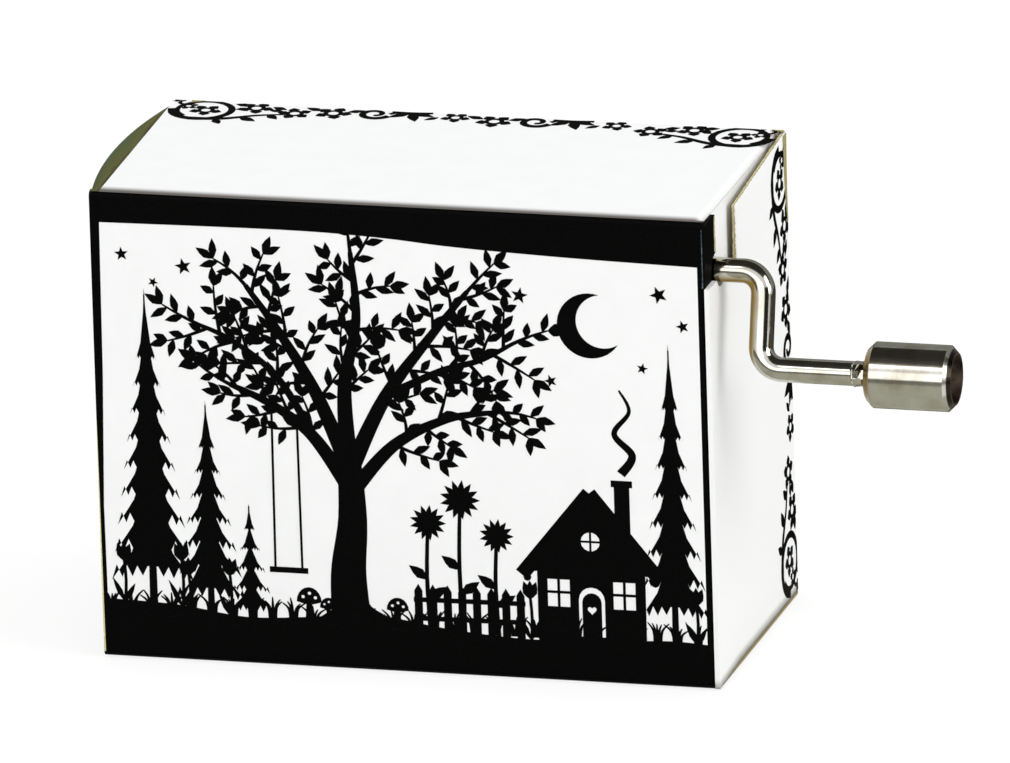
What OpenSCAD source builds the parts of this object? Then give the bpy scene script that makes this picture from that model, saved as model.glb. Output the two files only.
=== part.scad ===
// Hand-cranked music box: a folded carton with a plucked-comb movement hung under its top panel.
// Millimetres. X runs to the crank, Y to the back, Z up. The origin is the centre of the bottom face.

/* [Carton] */
// Width between the outer faces of the two ends
carton_w = 64; // [60:0.5:80]
// Depth from the front face to the back face
carton_d = 32; // [30:0.5:44]
// Height from the bottom face to the top face
carton_h = 49; // [44:0.5:70]
// Thickness of the folding boxboard
board_t = 0.5; // [0.35:0.05:0.7]
// Inner radius of a pressed crease
crease_in_r = 0.15; // [0.05:0.05:0.4]
// Gap between a folded-in flap and the panels beside it
flap_side_gap = 0.3; // [0.1:0.05:0.8]
// Width of the strip that is glued inside the back panel
glue_strip_w = 8; // [4:0.5:12]
// Distance of the glued strip from the two ends
glue_strip_inset = 2.5; // [2:0.5:6]

/* [Left end] */
// Outer radius of the soft roll where the top turns into the left end
roll_r = 1; // [0.7:0.1:2.5]
// How far the left end bulges out at the middle
left_bow = 1.8; // [0.8:0.1:2.4]
// Distance of the top panel's cut edge from the left end, at the front
seam_front = 1; // [0.6:0.1:2]
// Distance of the top panel's cut edge from the left end, at the back
seam_back = 0.2; // [0.1:0.1:2]
// Depth of the tongue that tucks in at the foot of the left end
tuck_l = 5; // [3:0.5:6]
// Half width that the tongue stands back from the sides of the flap
tuck_taper = 1.8; // [0.5:0.1:4]
// Room between the tongue and the bottom panel
tuck_room = 0.6; // [0.5:0.05:1.2]
// Gap at the crease that the left end turns on
hinge_gap = 0.1; // [0.05:0.05:0.3]
// Width of the two dust flaps behind the left end
dust_flap_w = 8; // [5:0.5:12]
// Distance of the dust flaps from the top and the bottom face
dust_flap_inset = 3.5; // [3:0.5:8]
// Gap between the dust flaps and the left end
dust_gap = 0.15; // [0.1:0.05:0.4]

/* [Right end] */
// Width of the narrow flap that comes round from the front panel
front_flap_w = 4.9; // [4:0.1:8]
// Length of the flap that comes down from the top panel
top_flap_l = 13; // [10:0.5:18]
// Length of the flap that comes up from the bottom panel
bottom_flap_l = 13; // [8:0.5:18]
// Distance of the outer panel from the front, bottom and top edges
panel_inset = 0.1; // [0.05:0.05:0.8]
// How far the outer panel's top edge drops towards the crank
panel_top_drop = 1.5; // [0:0.1:3]
// Depth of the corner cut out of the outer panel for the crank, from the front
panel_notch_d = 11.2; // [9:0.1:16]
// Depth of that corner below the crank's axis
panel_notch_drop = 0.75; // [0.3:0.05:1.5]
// Gap between the crank and the board around it
crank_hole_gap = 0.45; // [0.3:0.05:1]

/* [Crank] */
// Diameter of the crank's wire
wire_d = 2.5; // [2:0.1:3]
// Distance of the crank's axis from the front face
crank_from_front = 4.8; // [4.6:0.1:5.6]
// Distance of the crank's axis from the top face
crank_from_top = 6.3; // [6:0.1:8]
// Distance between the crank's axis and the knob's axis
crank_throw = 9.7; // [7:0.1:14]
// Distance of the crank's arm from the right end
arm_stand_off = 4.5; // [4:0.1:8]
// Radius of the wire's two bends, at its centre
bend_r = 2.2; // [1.8:0.1:3]
// Angle of the arm at rest, from straight down towards the front
crank_rest = 15; // [0:1:45]
// Distance that the pinched ears stand out from the wire
ear_h = 0.35; // [0.2:0.05:0.6]
// Length of the pinched ears
ear_l = 1.3; // [0.8:0.1:2]
// Thickness of the pinched ears
ear_t = 0.9; // [0.6:0.1:1.4]

/* [Knob] */
// Diameter of the knob
knob_d = 6.7; // [6:0.1:10]
// Length of the knob
knob_l = 9; // [8:0.5:14]
// Chamfer at the knob's ends
knob_chamfer = 0.7; // [0.3:0.05:0.8]
// Wall round the hollow outer end of the knob
knob_wall = 0.9; // [0.85:0.05:1.2]
// Depth of the hollow outer end
knob_hollow_l = 3.2; // [2:0.1:4]
// Distance from the arm's axis to the knob
knob_from_arm = 11.2; // [7:0.1:16]
// End play of the knob between the ears and its washer
knob_play = 0.15; // [0.05:0.05:0.3]
// Gap between the knob's washer and the wall of the hollow
knob_washer_gap = 0.4; // [0.2:0.05:0.6]
// Thickness of the knob's washer
knob_washer_t = 0.4; // [0.3:0.05:0.6]
// Height of the riveted head on the wire's end
rivet_h = 0.6; // [0.4:0.1:1]

/* [Worm drive] */
// Teeth of the worm wheel, which is also the crank's turns for one turn of the drum
wheel_teeth = 22; // [18:1:26]
// Axial pitch of the worm
worm_pitch = 2; // [1.8:0.05:2.2]
// Wall of the worm between its bore and its thread
worm_wall = 0.5; // [0.4:0.05:0.8]
// Length of the worm
worm_l = 8; // [7:0.5:10]
// Number of turns of the worm's thread
thread_turns = 3; // [2:0.5:3]
// Height of the teeth above the pitch line
addendum = 0.55; // [0.4:0.05:0.6]
// Depth of the teeth below the pitch line
dedendum = 0.75; // [0.7:0.05:0.9]
// Play between the flanks of the worm and of the wheel
backlash = 0.4; // [0.3:0.05:0.5]
// Slope of the flanks
pressure_angle = 20; // [14:1:25]
// Face width of the worm wheel
wheel_w = 2.4; // [2:0.1:3]
// Radius of the worm wheel's hub
wheel_hub_r = 2.8; // [2:0.1:4]
// Gap between the worm and the frame beside it
worm_room = 0.35; // [0.25:0.05:0.6]
// Thickness of the thrust washers beside the worm
thrust_t = 0.4; // [0.3:0.05:0.6]
// Radius of the thrust washers and of the clip on the wire's end
thrust_r = 2.3; // [2:0.1:2.8]
// End play of the crank and of the drum
end_play = 0.15; // [0.05:0.05:0.25]
// Thickness of the clips on the ends of the wire and the arbor
clip_t = 0.5; // [0.4:0.05:0.6]
// Length of wire or arbor that stands out of its clip
clip_stand_out = 0.3; // [0.1:0.05:0.3]

/* [Drum] */
// Distance of the drum's axis from the right end
drum_from_right = 21; // [20:0.5:23]
// Outer radius of the drum's tube
drum_r = 6.3; // [5.5:0.1:7]
// Wall of the drum's tube
drum_wall = 0.5; // [0.4:0.05:0.8]
// Height of the pins
pin_h = 0.6; // [0.4:0.05:0.8]
// Radius of a pin
pin_r = 0.2; // [0.15:0.01:0.25]
// Pins in each track
pins_per_track = 4; // [2:1:6]
// Turn from one track's pins to the next track's
pin_step = 137.5; // [1:0.5:180]
// Length of the drum's ends that carry no pins
drum_margin = 0.7; // [0.5:0.1:1.5]
// Radius of the drum's arbor
arbor_r = 1; // [0.8:0.05:1.2]
// Thickness of the two caps in the drum's ends
cap_t = 1.6; // [1:0.1:2.5]
// Radius of the clip on the arbor's end
arbor_clip_r = 2; // [1.6:0.1:2.6]

/* [Comb] */
// Notes, with one tooth of the comb and one track of pins each
note_count = 18; // [12:1:20]
// Length of the lowest tooth
bass_l = 19; // [16:0.5:21]
// Length of the highest tooth
treble_l = 12; // [9:0.5:15]
// Thickness of the teeth
tooth_t = 0.6; // [0.4:0.05:0.8]
// Width of the slots between the teeth
tooth_slot = 0.25; // [0.2:0.05:0.4]
// Gap between the teeth's tips and the circle of the pins
pluck_gap = 0.1; // [0.1:0.05:0.3]
// Thickness of the comb's base
comb_t = 1.5; // [1.2:0.1:2]
// Depth of the comb's base behind the lowest tooth
comb_base_l = 7; // [6:0.5:8]
// Teeth that carry a tuning weight
weight_count = 6; // [3:1:9]
// Length of a tuning weight
weight_l = 1.6; // [1:0.1:2.4]
// Height of a tuning weight
weight_h = 1; // [0.6:0.1:1.4]
// Distance of the tuning weights from the teeth's tips
weight_from_tip = 0.9; // [0.8:0.1:1.5]
// Narrowing of a weight or damper at each side of its tooth
weight_inset = 0.08; // [0.05:0.01:0.12]
// Teeth that carry a damper
damper_count = 8; // [4:1:9]
// Length of a damper
damper_l = 3; // [2:0.1:4]
// Thickness of a damper
damper_t = 0.15; // [0.1:0.05:0.25]

/* [Movement frame] */
// Thickness of the board that the movement is screwed to
mount_board_t = 1.5; // [1:0.1:1.7]
// Margin of that board round the bedplate
mount_board_margin = 1; // [0.5:0.1:3]
// Thickness of the bedplate
bed_t = 1.3; // [1:0.1:1.5]
// Gap between the movement and the front and back panels
bed_side_gap = 0.8; // [0.6:0.05:1]
// Margin of the bedplate round the comb and the crank's lugs
bed_margin = 1; // [0.5:0.1:2]
// Thickness of the cheeks that carry the drum
cheek_t = 1.8; // [1.4:0.1:2.2]
// Thickness of the lugs that carry the crank
lug_t = 2.5; // [2:0.1:3]
// Metal of a cheek or lug round its bush
bush_land = 0.9; // [0.7:0.05:1]
// Wall of the bushes
bush_wall = 0.8; // [0.5:0.05:0.9]
// Diameter of the screws
screw_d = 1.9; // [1.6:0.1:2.2]
// Radius of the screws' heads
head_r = 1.7; // [1.5:0.1:2]
// Height of the comb screws' heads
head_h = 1.1; // [0.8:0.1:1.4]
// Width of the screwdriver slots
slot_w = 0.4; // [0.3:0.05:0.6]
// Depth of the screwdriver slots
slot_d = 0.4; // [0.3:0.05:0.5]
// Length of a screw in the metal
screw_grip = 3.5; // [2.5:0.1:4]
// Metal of the boss round the single screw
boss_wall = 1.4; // [1:0.1:2]
// Place of the screws behind the comb's back edge
screw_from_edge = 3.2; // [2.8:0.1:3.6]

/* [Fits] */
// Radial gap of a pressed or screwed fit
fit_gap = 0.03; // [0.01:0.01:0.05]
// Radial gap of a running fit
run_gap = 0.05; // [0.02:0.01:0.09]

/* [Hidden] */
$fn = 64;
// Overlap that makes two solids of one piece a single solid
eps = 0.05;

// Carton
x_right = carton_w / 2;
x_left = -carton_w / 2;
y_front = -carton_d / 2;
y_back = carton_d / 2;
crease_r = crease_in_r + board_t;
inner_half_d = carton_d / 2 - board_t;
flap_half_d = inner_half_d - flap_side_gap;
front_flap_x = x_right - board_t;
top_flap_x = x_right - 2 * board_t;
tube_end_x = top_flap_x - crease_r;

// Left end
bow_r = (inner_half_d * inner_half_d + left_bow * left_bow) / (2 * left_bow);
bow_x = x_left - left_bow + bow_r;
hinge_z = carton_h - roll_r;
tuck_z = board_t + tuck_room;
dust_x = x_left + board_t + dust_gap;

// Crank
wire_r = wire_d / 2;
crank_y = y_front + crank_from_front;
crank_z = carton_h - crank_from_top;
arm_x = x_right + arm_stand_off;
hole_r = wire_r + crank_hole_gap;

// Knob
knob_r = knob_d / 2;
knob_x = arm_x + knob_from_arm;
knob_end_x = knob_x + knob_l;
hollow_r = knob_r - knob_wall;
hollow_x = knob_end_x - knob_hollow_l;
knob_washer_r = hollow_r - knob_washer_gap;
knob_washer_x = hollow_x + knob_play;
rivet_r = (wire_r + knob_washer_r) / 2;
rivet_x = knob_washer_x + knob_washer_t;
ear_x = knob_x - knob_play - ear_l;

// Worm drive
drum_x = x_right - drum_from_right;
worm_root_r = wire_r + worm_wall;
worm_pitch_r = worm_root_r + dedendum;
worm_r = worm_pitch_r + addendum;
wheel_pitch_r = wheel_teeth * worm_pitch / (2 * PI);
drum_z = crank_z - worm_pitch_r - wheel_pitch_r;
lead_angle = atan(worm_pitch / (2 * PI * worm_pitch_r));
flank_half = worm_pitch / 4 - backlash / 4;
lug_x = worm_l / 2 + thrust_t + end_play;
thread_steps = 20;

// Movement along Y
bed_y0 = y_front + board_t + bed_side_gap;
bed_y1 = y_back - board_t - bed_side_gap;
wheel_y0 = crank_y - wheel_w / 2;
wheel_y1 = crank_y + wheel_w / 2;
front_cheek_y = crank_y + worm_r + worm_room;
rear_cheek_y = bed_y1 - cheek_t;
drum_y0 = front_cheek_y + cheek_t + end_play;
drum_y1 = rear_cheek_y - end_play;
track_pitch = (drum_y1 - drum_y0 - 2 * drum_margin) / note_count;

// Movement along Z
bed_top = carton_h - board_t - mount_board_t;
bed_z = bed_top - bed_t;
comb_z = drum_z - tooth_t / 2;
comb_top = comb_z + comb_t;

// Movement along X
tip_x = drum_x - drum_r - pin_h - pluck_gap;
comb_x = tip_x - bass_l - comb_base_l;
bed_x0 = comb_x - bed_margin;
bed_x1 = drum_x + lug_x + lug_t + bed_margin;
screw_x = comb_x + screw_from_edge;
boss_x = drum_x + lug_x;
boss_y = (drum_y0 + drum_y1) / 2;

// Bushes and screws
drum_bush_r = arbor_r + run_gap + bush_wall;
crank_bush_r = wire_r + run_gap + bush_wall;
cheek_r = drum_bush_r + fit_gap + bush_land;
lug_r = crank_bush_r + fit_gap + bush_land;
screw_r = screw_d / 2;
head_cone_h = head_r - screw_r;
comb_screw_ys = [for (f = [0.15, 0.5, 0.85]) drum_y0 + f * (drum_y1 - drum_y0)];
mount_screws = [
    [screw_x, comb_screw_ys[0]],
    [screw_x, comb_screw_ys[2]],
    [boss_x, boss_y]
];

// Middle of a track, counted from the front
function track_y(k) = drum_y0 + drum_margin + (k + 0.5) * track_pitch;

// Length of a tooth: the lowest note is at the front
function tooth_l(k) = bass_l + (treble_l - bass_l) * k / (note_count - 1);

// Turned round the crank's axis by the rest angle
module on_crank() {
    translate([0, crank_y, crank_z]) rotate([-crank_rest, 0, 0]) children();
}

// A round bar along X, from one x to another
module bar_x(x0, x1, r) {
    translate([x0, 0, 0]) rotate([0, 90, 0]) cylinder(h = x1 - x0, r = r);
}

// A round bar along Y on the drum's axis, from one y to another
module drum_bar(y0, y1, r) {
    translate([drum_x, y0, drum_z]) rotate([-90, 0, 0]) cylinder(h = y1 - y0, r = r);
}

// A ring along X on the crank's axis
module crank_ring(x0, x1, r, hole) {
    translate([0, crank_y, crank_z])
        difference() {
            bar_x(x0, x1, r);
            bar_x(x0 - eps, x1 + eps, hole);
        }
}

// A ring along Y on the drum's axis
module drum_ring(y0, y1, r, hole) {
    difference() {
        drum_bar(y0, y1, r);
        drum_bar(y0 - eps, y1 + eps, hole);
    }
}

// A rectangle with round corners, about its centre
module rounded_rect(w, h, r) {
    square([w - 2 * r, h], center = true);
    square([w, h - 2 * r], center = true);
    for (x = [-1, 1], y = [-1, 1]) {
        translate([x * (w / 2 - r), y * (h / 2 - r)]) circle(r = r);
    }
}

// A quarter of a ring of board in the first quarter of the plane
module crease_quarter(outer_r) {
    intersection() {
        difference() {
            circle(r = outer_r);
            circle(r = outer_r - board_t);
        }
        square(outer_r);
    }
}

// An outline in Y and Z, as thick as given, with its outer face at x
module end_sheet(x, t) {
    translate([x - t, 0, 0]) rotate([90, 0, 90]) linear_extrude(height = t) children();
}

// A shape in radius and Z, swept along the bulge of the left end over a half width in Y
module left_sweep(half_w) {
    half_angle = asin(half_w / bow_r);
    translate([bow_x, 0, 0])
        rotate([0, 0, 180 - half_angle])
            rotate_extrude(angle = 2 * half_angle, $fn = 256) children();
}

// The plan of what lies left of the top panel's cut edge
module left_of_seam() {
    polygon([
        [x_left - 2 * left_bow, -inner_half_d],
        [x_left - 2 * left_bow, inner_half_d],
        [x_left + seam_back, inner_half_d],
        [x_left + seam_front, -inner_half_d]
    ]);
}

// The upper and lower creases of the front or back panel, carried on past the tube to x
module fold_corners(x, side, turns) {
    for (k = [0, 1])
        translate([tube_end_x - eps, side * (carton_d / 2 - crease_r), k == 0 ? carton_h - crease_r : crease_r])
            rotate([90, 0, 90]) linear_extrude(height = x - tube_end_x + eps)
                rotate(turns[k]) crease_quarter(crease_r);
}

module carton_sleeve() {
    color("white") difference() {
        union() {
            translate([x_left, 0, carton_h / 2]) rotate([90, 0, 90])
                linear_extrude(height = tube_end_x - x_left) difference() {
                    rounded_rect(carton_d, carton_h, crease_r);
                    rounded_rect(carton_d - 2 * board_t, carton_h - 2 * board_t, crease_in_r);
                }
            translate([tube_end_x - eps, y_front, crease_r])
                cube([front_flap_x - crease_r - tube_end_x + eps, board_t, carton_h - 2 * crease_r]);
            translate([tube_end_x - eps, y_back - board_t, crease_r])
                cube([x_right - crease_r - tube_end_x + eps, board_t, carton_h - 2 * crease_r]);
            fold_corners(front_flap_x, -1, [90, 180]);
            fold_corners(x_right - crease_r - fit_gap, 1, [0, -90]);
        }
        translate([0, 0, carton_h - crease_r]) linear_extrude(height = 2 * crease_r) left_of_seam();
    }
}

module left_rolled_edge() {
    flat_l = roll_r + left_bow + seam_front;
    color("darkolivegreen") intersection() {
        left_sweep(inner_half_d - fit_gap) translate([bow_r - roll_r, hinge_z]) {
            crease_quarter(roll_r);
            translate([-flat_l, roll_r - board_t]) square([flat_l, board_t]);
        }
        linear_extrude(height = 2 * carton_h) left_of_seam();
    }
}

module left_end_flap() {
    tongue_half = flap_half_d - tuck_taper;
    color("darkolivegreen") difference() {
        left_sweep(flap_half_d) polygon([
            [bow_r - tuck_l, tuck_z],
            [bow_r, tuck_z],
            [bow_r, hinge_z - hinge_gap],
            [bow_r - board_t, hinge_z - hinge_gap],
            [bow_r - board_t, tuck_z + board_t],
            [bow_r - tuck_l, tuck_z + board_t]
        ]);
        for (side = [-1, 1])
            translate([x_left + board_t, side > 0 ? tongue_half : -flap_half_d - eps, tuck_z - eps])
                cube([tuck_l, tuck_taper + eps, board_t + 2 * eps]);
    }
}

module left_dust_flaps() {
    color("white") for (side = [-1, 1])
        translate([dust_x, side > 0 ? inner_half_d - dust_flap_w : -inner_half_d, dust_flap_inset])
            cube([board_t, dust_flap_w, carton_h - 2 * dust_flap_inset]);
}

module glue_strip() {
    color("gainsboro") translate([x_left + glue_strip_inset, inner_half_d - board_t, board_t + crease_in_r])
        cube([carton_w - 2 * glue_strip_inset, board_t, glue_strip_w]);
}

// Crease and flap that turn down or up from a horizontal panel, drawn for the top panel
module end_dust_flap(l) {
    translate([top_flap_x - crease_r, flap_half_d, carton_h - crease_r]) rotate([90, 0, 0])
        linear_extrude(height = 2 * flap_half_d) crease_quarter(crease_r);
    translate([top_flap_x - board_t, -flap_half_d, carton_h - l])
        cube([board_t, 2 * flap_half_d, l - crease_r]);
}

module right_top_flap() {
    color("white") difference() {
        end_dust_flap(top_flap_l);
        translate([0, crank_y, crank_z]) bar_x(tube_end_x, x_right, hole_r);
        translate([tube_end_x, crank_y - hole_r, carton_h - top_flap_l - eps])
            cube([x_right - tube_end_x, 2 * hole_r, crank_z - carton_h + top_flap_l + eps]);
    }
}

module right_bottom_flap() {
    color("white") translate([0, 0, carton_h]) mirror([0, 0, 1]) end_dust_flap(bottom_flap_l);
}

module right_front_flap() {
    flap_h = carton_h - 2 * crease_r;
    color("black") difference() {
        union() {
            translate([front_flap_x - crease_r, y_front + crease_r, crease_r]) mirror([0, 1, 0])
                linear_extrude(height = flap_h) crease_quarter(crease_r);
            translate([front_flap_x - board_t, y_front + crease_r, crease_r])
                cube([board_t, front_flap_w - crease_r, flap_h]);
        }
        translate([0, crank_y, crank_z]) bar_x(tube_end_x, x_right, hole_r);
    }
}

module right_end_panel() {
    panel_top = carton_h - panel_inset;
    panel_front = y_front + panel_inset;
    crease_y = y_back - crease_r;
    notch_y = y_front + panel_notch_d;
    notch_z = crank_z - panel_notch_drop;
    color("white") difference() {
        union() {
            translate([x_right - crease_r, crease_y, panel_inset])
                linear_extrude(height = carton_h - 2 * panel_inset) crease_quarter(crease_r);
            end_sheet(x_right, board_t) polygon([
                [crease_y, panel_inset],
                [crease_y, panel_top],
                [notch_y, panel_top - panel_top_drop],
                [notch_y, notch_z],
                [panel_front, notch_z],
                [panel_front, panel_inset]
            ]);
        }
        translate([0, crank_y, crank_z]) bar_x(tube_end_x, x_right + eps, hole_r);
    }
}

// Countersunk hole or head under a flat face at z, pointing down
module countersink(p, z, gap) {
    rise = gap > 0 ? eps : 0;
    translate([p[0], p[1], z - head_cone_h])
        cylinder(h = head_cone_h + rise, r1 = screw_r + gap, r2 = head_r + gap + rise);
}

module mounting_board() {
    x0 = bed_x0 - mount_board_margin;
    x1 = bed_x1 + mount_board_margin;
    color("tan") difference() {
        translate([x0, bed_y0, bed_top]) cube([x1 - x0, bed_y1 - bed_y0, mount_board_t]);
        for (p = mount_screws) {
            countersink(p, bed_top + mount_board_t, fit_gap);
            translate([p[0], p[1], bed_top - eps])
                cylinder(h = mount_board_t, r = screw_r + fit_gap);
        }
    }
}

module mounting_screws() {
    top = bed_top + mount_board_t;
    color("silver") for (p = mount_screws) difference() {
        union() {
            countersink(p, top, 0);
            translate([p[0], p[1], bed_top - screw_grip])
                cylinder(h = screw_grip + mount_board_t - head_cone_h / 2, r = screw_r);
        }
        translate([p[0] - head_r, p[1] - slot_w / 2, top - slot_d])
            cube([2 * head_r, slot_w, 2 * slot_d]);
    }
}

module bedplate() {
    color("silver") difference() {
        union() {
            translate([bed_x0, bed_y0, bed_z]) cube([bed_x1 - bed_x0, bed_y1 - bed_y0, bed_t]);
            translate([bed_x0, drum_y0, comb_top])
                cube([comb_base_l + bed_margin, drum_y1 - drum_y0, bed_z - comb_top + eps]);
            for (y = [front_cheek_y, rear_cheek_y]) {
                drum_bar(y, y + cheek_t, cheek_r);
                translate([drum_x - cheek_r, y, drum_z])
                    cube([2 * cheek_r, cheek_t, bed_z - drum_z + eps]);
            }
            for (x = [drum_x - lug_x - lug_t, drum_x + lug_x]) {
                translate([0, crank_y, crank_z]) bar_x(x, x + lug_t, lug_r);
                translate([x, crank_y - lug_r, crank_z])
                    cube([lug_t, 2 * lug_r, bed_z - crank_z + eps]);
            }
            translate([boss_x, boss_y, bed_top - screw_grip - end_play])
                cylinder(h = screw_grip, r = screw_r + boss_wall);
        }
        translate([drum_x - lug_x, crank_y - worm_r - worm_room, bed_z - eps])
            cube([2 * lug_x, 2 * (worm_r + worm_room), bed_t + 2 * eps]);
        drum_bar(front_cheek_y - eps, bed_y1 + eps, drum_bush_r + fit_gap);
        translate([0, crank_y, crank_z])
            bar_x(drum_x - lug_x - lug_t - eps, drum_x + lug_x + lug_t + eps, crank_bush_r + fit_gap);
        for (p = mount_screws)
            translate([p[0], p[1], bed_top - screw_grip - 2 * end_play])
                cylinder(h = screw_grip + 2 * end_play + eps, r = screw_r + fit_gap);
        for (y = comb_screw_ys)
            translate([screw_x, y, comb_top - eps])
                cylinder(h = screw_grip + end_play, r = screw_r + fit_gap);
    }
}

module front_drum_bush() {
    color("goldenrod")
        drum_ring(front_cheek_y, front_cheek_y + cheek_t, drum_bush_r, arbor_r + run_gap);
}

module rear_drum_bush() {
    color("goldenrod")
        drum_ring(rear_cheek_y, rear_cheek_y + cheek_t, drum_bush_r, arbor_r + run_gap);
}

module inner_crank_bush() {
    color("goldenrod")
        crank_ring(drum_x - lug_x - lug_t, drum_x - lug_x, crank_bush_r, wire_r + run_gap);
}

module outer_crank_bush() {
    color("goldenrod")
        crank_ring(drum_x + lug_x, drum_x + lug_x + lug_t, crank_bush_r, wire_r + run_gap);
}

module comb() {
    base_y0 = track_y(0) - track_pitch / 2;
    base_y1 = track_y(note_count - 1) + track_pitch / 2;
    tooth_w = track_pitch - tooth_slot;
    color("lightsteelblue") difference() {
        union() {
            translate([0, 0, comb_z]) linear_extrude(height = comb_t) polygon([
                [comb_x, base_y0],
                [comb_x, base_y1],
                [tip_x - treble_l, base_y1],
                [tip_x - bass_l, base_y0]
            ]);
            for (k = [0 : note_count - 1])
                translate([tip_x - tooth_l(k) - 1, track_y(k) - tooth_w / 2, comb_z])
                    cube([tooth_l(k) + 1, tooth_w, tooth_t]);
        }
        for (y = comb_screw_ys)
            translate([screw_x, y, comb_z - eps])
                cylinder(h = comb_t + 2 * eps, r = screw_r + fit_gap);
    }
}

module comb_screws() {
    color("silver") for (y = comb_screw_ys) translate([screw_x, y, comb_z]) difference() {
        union() {
            translate([0, 0, -head_h]) cylinder(h = head_h, r = head_r);
            translate([0, 0, -eps]) cylinder(h = comb_t + screw_grip - end_play, r = screw_r);
        }
        translate([-head_r - eps, -slot_w / 2, -head_h - slot_d])
            cube([2 * (head_r + eps), slot_w, 2 * slot_d]);
    }
}

// A small block under a tooth's tip
module under_tooth(k, from_tip, l, h) {
    w = track_pitch - tooth_slot - 2 * weight_inset;
    translate([tip_x - from_tip - l, track_y(k) - w / 2, comb_z - h]) cube([l, w, h]);
}

module tuning_weights() {
    color("dimgray") for (k = [0 : weight_count - 1])
        under_tooth(k, weight_from_tip, weight_l, weight_h);
}

module comb_dampers() {
    color("ivory") for (k = [weight_count : weight_count + damper_count - 1])
        under_tooth(k, weight_from_tip, damper_l, damper_t);
}

module drum_tube() {
    color("goldenrod") {
        drum_ring(drum_y0, drum_y1, drum_r, drum_r - drum_wall);
        for (k = [0 : note_count - 1], j = [0 : pins_per_track - 1])
            translate([drum_x, track_y(k), drum_z])
                rotate([0, k * pin_step + j * 360 / pins_per_track, 0])
                    translate([0, 0, drum_r - drum_wall / 2])
                        cylinder(h = drum_wall / 2 + pin_h, r = pin_r);
    }
}

module drum_front_cap() {
    color("goldenrod") drum_ring(drum_y0, drum_y0 + cap_t, drum_r - drum_wall - fit_gap, arbor_r + fit_gap);
}

module drum_rear_cap() {
    color("goldenrod") drum_ring(drum_y1 - cap_t, drum_y1, drum_r - drum_wall - fit_gap, arbor_r + fit_gap);
}

module drum_arbor() {
    color("silver") drum_bar(wheel_y0, bed_y1 + end_play + clip_t + clip_stand_out / 2, arbor_r);
}

// One tooth of the worm wheel, standing up from the wheel's axis and slanted like the thread
module wheel_tooth() {
    slope = tan(pressure_angle);
    root = wheel_pitch_r - dedendum;
    rotate([0, 0, -lead_angle]) rotate([90, 0, 0]) translate([0, 0, -wheel_w])
        linear_extrude(height = 2 * wheel_w) polygon([
            [-flank_half - (dedendum + eps) * slope, root - eps],
            [flank_half + (dedendum + eps) * slope, root - eps],
            [flank_half - addendum * slope, wheel_pitch_r + addendum],
            [-flank_half + addendum * slope, wheel_pitch_r + addendum]
        ]);
}

module worm_wheel() {
    hub_y = front_cheek_y - end_play;
    color("ivory") difference() {
        union() {
            drum_bar(wheel_y0, wheel_y1, wheel_pitch_r - dedendum);
            drum_bar(wheel_y1 - eps, hub_y, wheel_hub_r);
            intersection() {
                drum_bar(wheel_y0, wheel_y1, wheel_pitch_r + 2 * addendum);
                translate([drum_x, crank_y, drum_z])
                    for (k = [0 : wheel_teeth - 1]) rotate([0, k * 360 / wheel_teeth, 0]) wheel_tooth();
            }
        }
        drum_bar(wheel_y0 - eps, hub_y + eps, arbor_r + fit_gap);
    }
}

module arbor_clip() {
    color("silver") drum_ring(bed_y1 + end_play, bed_y1 + end_play + clip_t, arbor_clip_r, arbor_r + fit_gap);
}

module crank_wire() {
    wire_x0 = drum_x - lug_x - lug_t - end_play - clip_t - clip_stand_out;
    arm_l = crank_throw - 2 * bend_r;
    color("silver") on_crank() {
        bar_x(wire_x0, arm_x - bend_r, wire_r);
        translate([arm_x - bend_r, 0, -bend_r]) rotate([90, 0, 0])
            rotate_extrude(angle = 90) translate([bend_r, 0]) circle(r = wire_r);
        translate([arm_x, 0, -bend_r - arm_l]) cylinder(h = arm_l, r = wire_r);
        translate([arm_x + bend_r, 0, bend_r - crank_throw]) rotate([90, 180, 0])
            rotate_extrude(angle = 90) translate([bend_r, 0]) circle(r = wire_r);
        translate([0, 0, -crank_throw]) {
            bar_x(arm_x + bend_r, rivet_x, wire_r);
            bar_x(rivet_x, rivet_x + rivet_h, rivet_r);
            translate([ear_x, -wire_r - ear_h, -ear_t / 2]) cube([ear_l, 2 * (wire_r + ear_h), ear_t]);
        }
    }
}

// Corners of the thread's section at a step along the helix
function thread_ring(i) =
    let (
        turn = i / thread_steps - thread_turns / 2,
        angle = 360 * turn + 90,
        x = worm_pitch * turn,
        slope = tan(pressure_angle),
        sunk_r = worm_root_r - worm_wall / 2,
        foot = flank_half + (worm_pitch_r - sunk_r) * slope,
        crest = flank_half - addendum * slope,
        section = [[-foot, sunk_r], [-crest, worm_r], [crest, worm_r], [foot, sunk_r]]
    )
    [for (p = section) [x + p[0], p[1] * cos(angle), p[1] * sin(angle)]];

module worm_thread() {
    rings = thread_turns * thread_steps;
    sides = [
        for (i = [0 : rings - 1], j = [0 : 3])
            let (a = 4 * i + j, b = 4 * i + (j + 1) % 4)
            each [[a, b, b + 4], [a, b + 4, a + 4]]
    ];
    ends = [[0, 3, 2, 1], [for (j = [0 : 3]) 4 * rings + j]];
    polyhedron(points = [for (i = [0 : rings]) each thread_ring(i)], faces = concat(sides, ends));
}

module crank_worm() {
    color("ivory") translate([drum_x, crank_y, crank_z]) difference() {
        union() {
            bar_x(-worm_l / 2, worm_l / 2, worm_root_r);
            worm_thread();
        }
        bar_x(-worm_l / 2 - eps, worm_l / 2 + eps, wire_r + fit_gap);
    }
}

module thrust_washers() {
    color("silver") for (x = [drum_x - worm_l / 2 - thrust_t, drum_x + worm_l / 2])
        crank_ring(x, x + thrust_t, thrust_r, wire_r + fit_gap);
}

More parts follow.
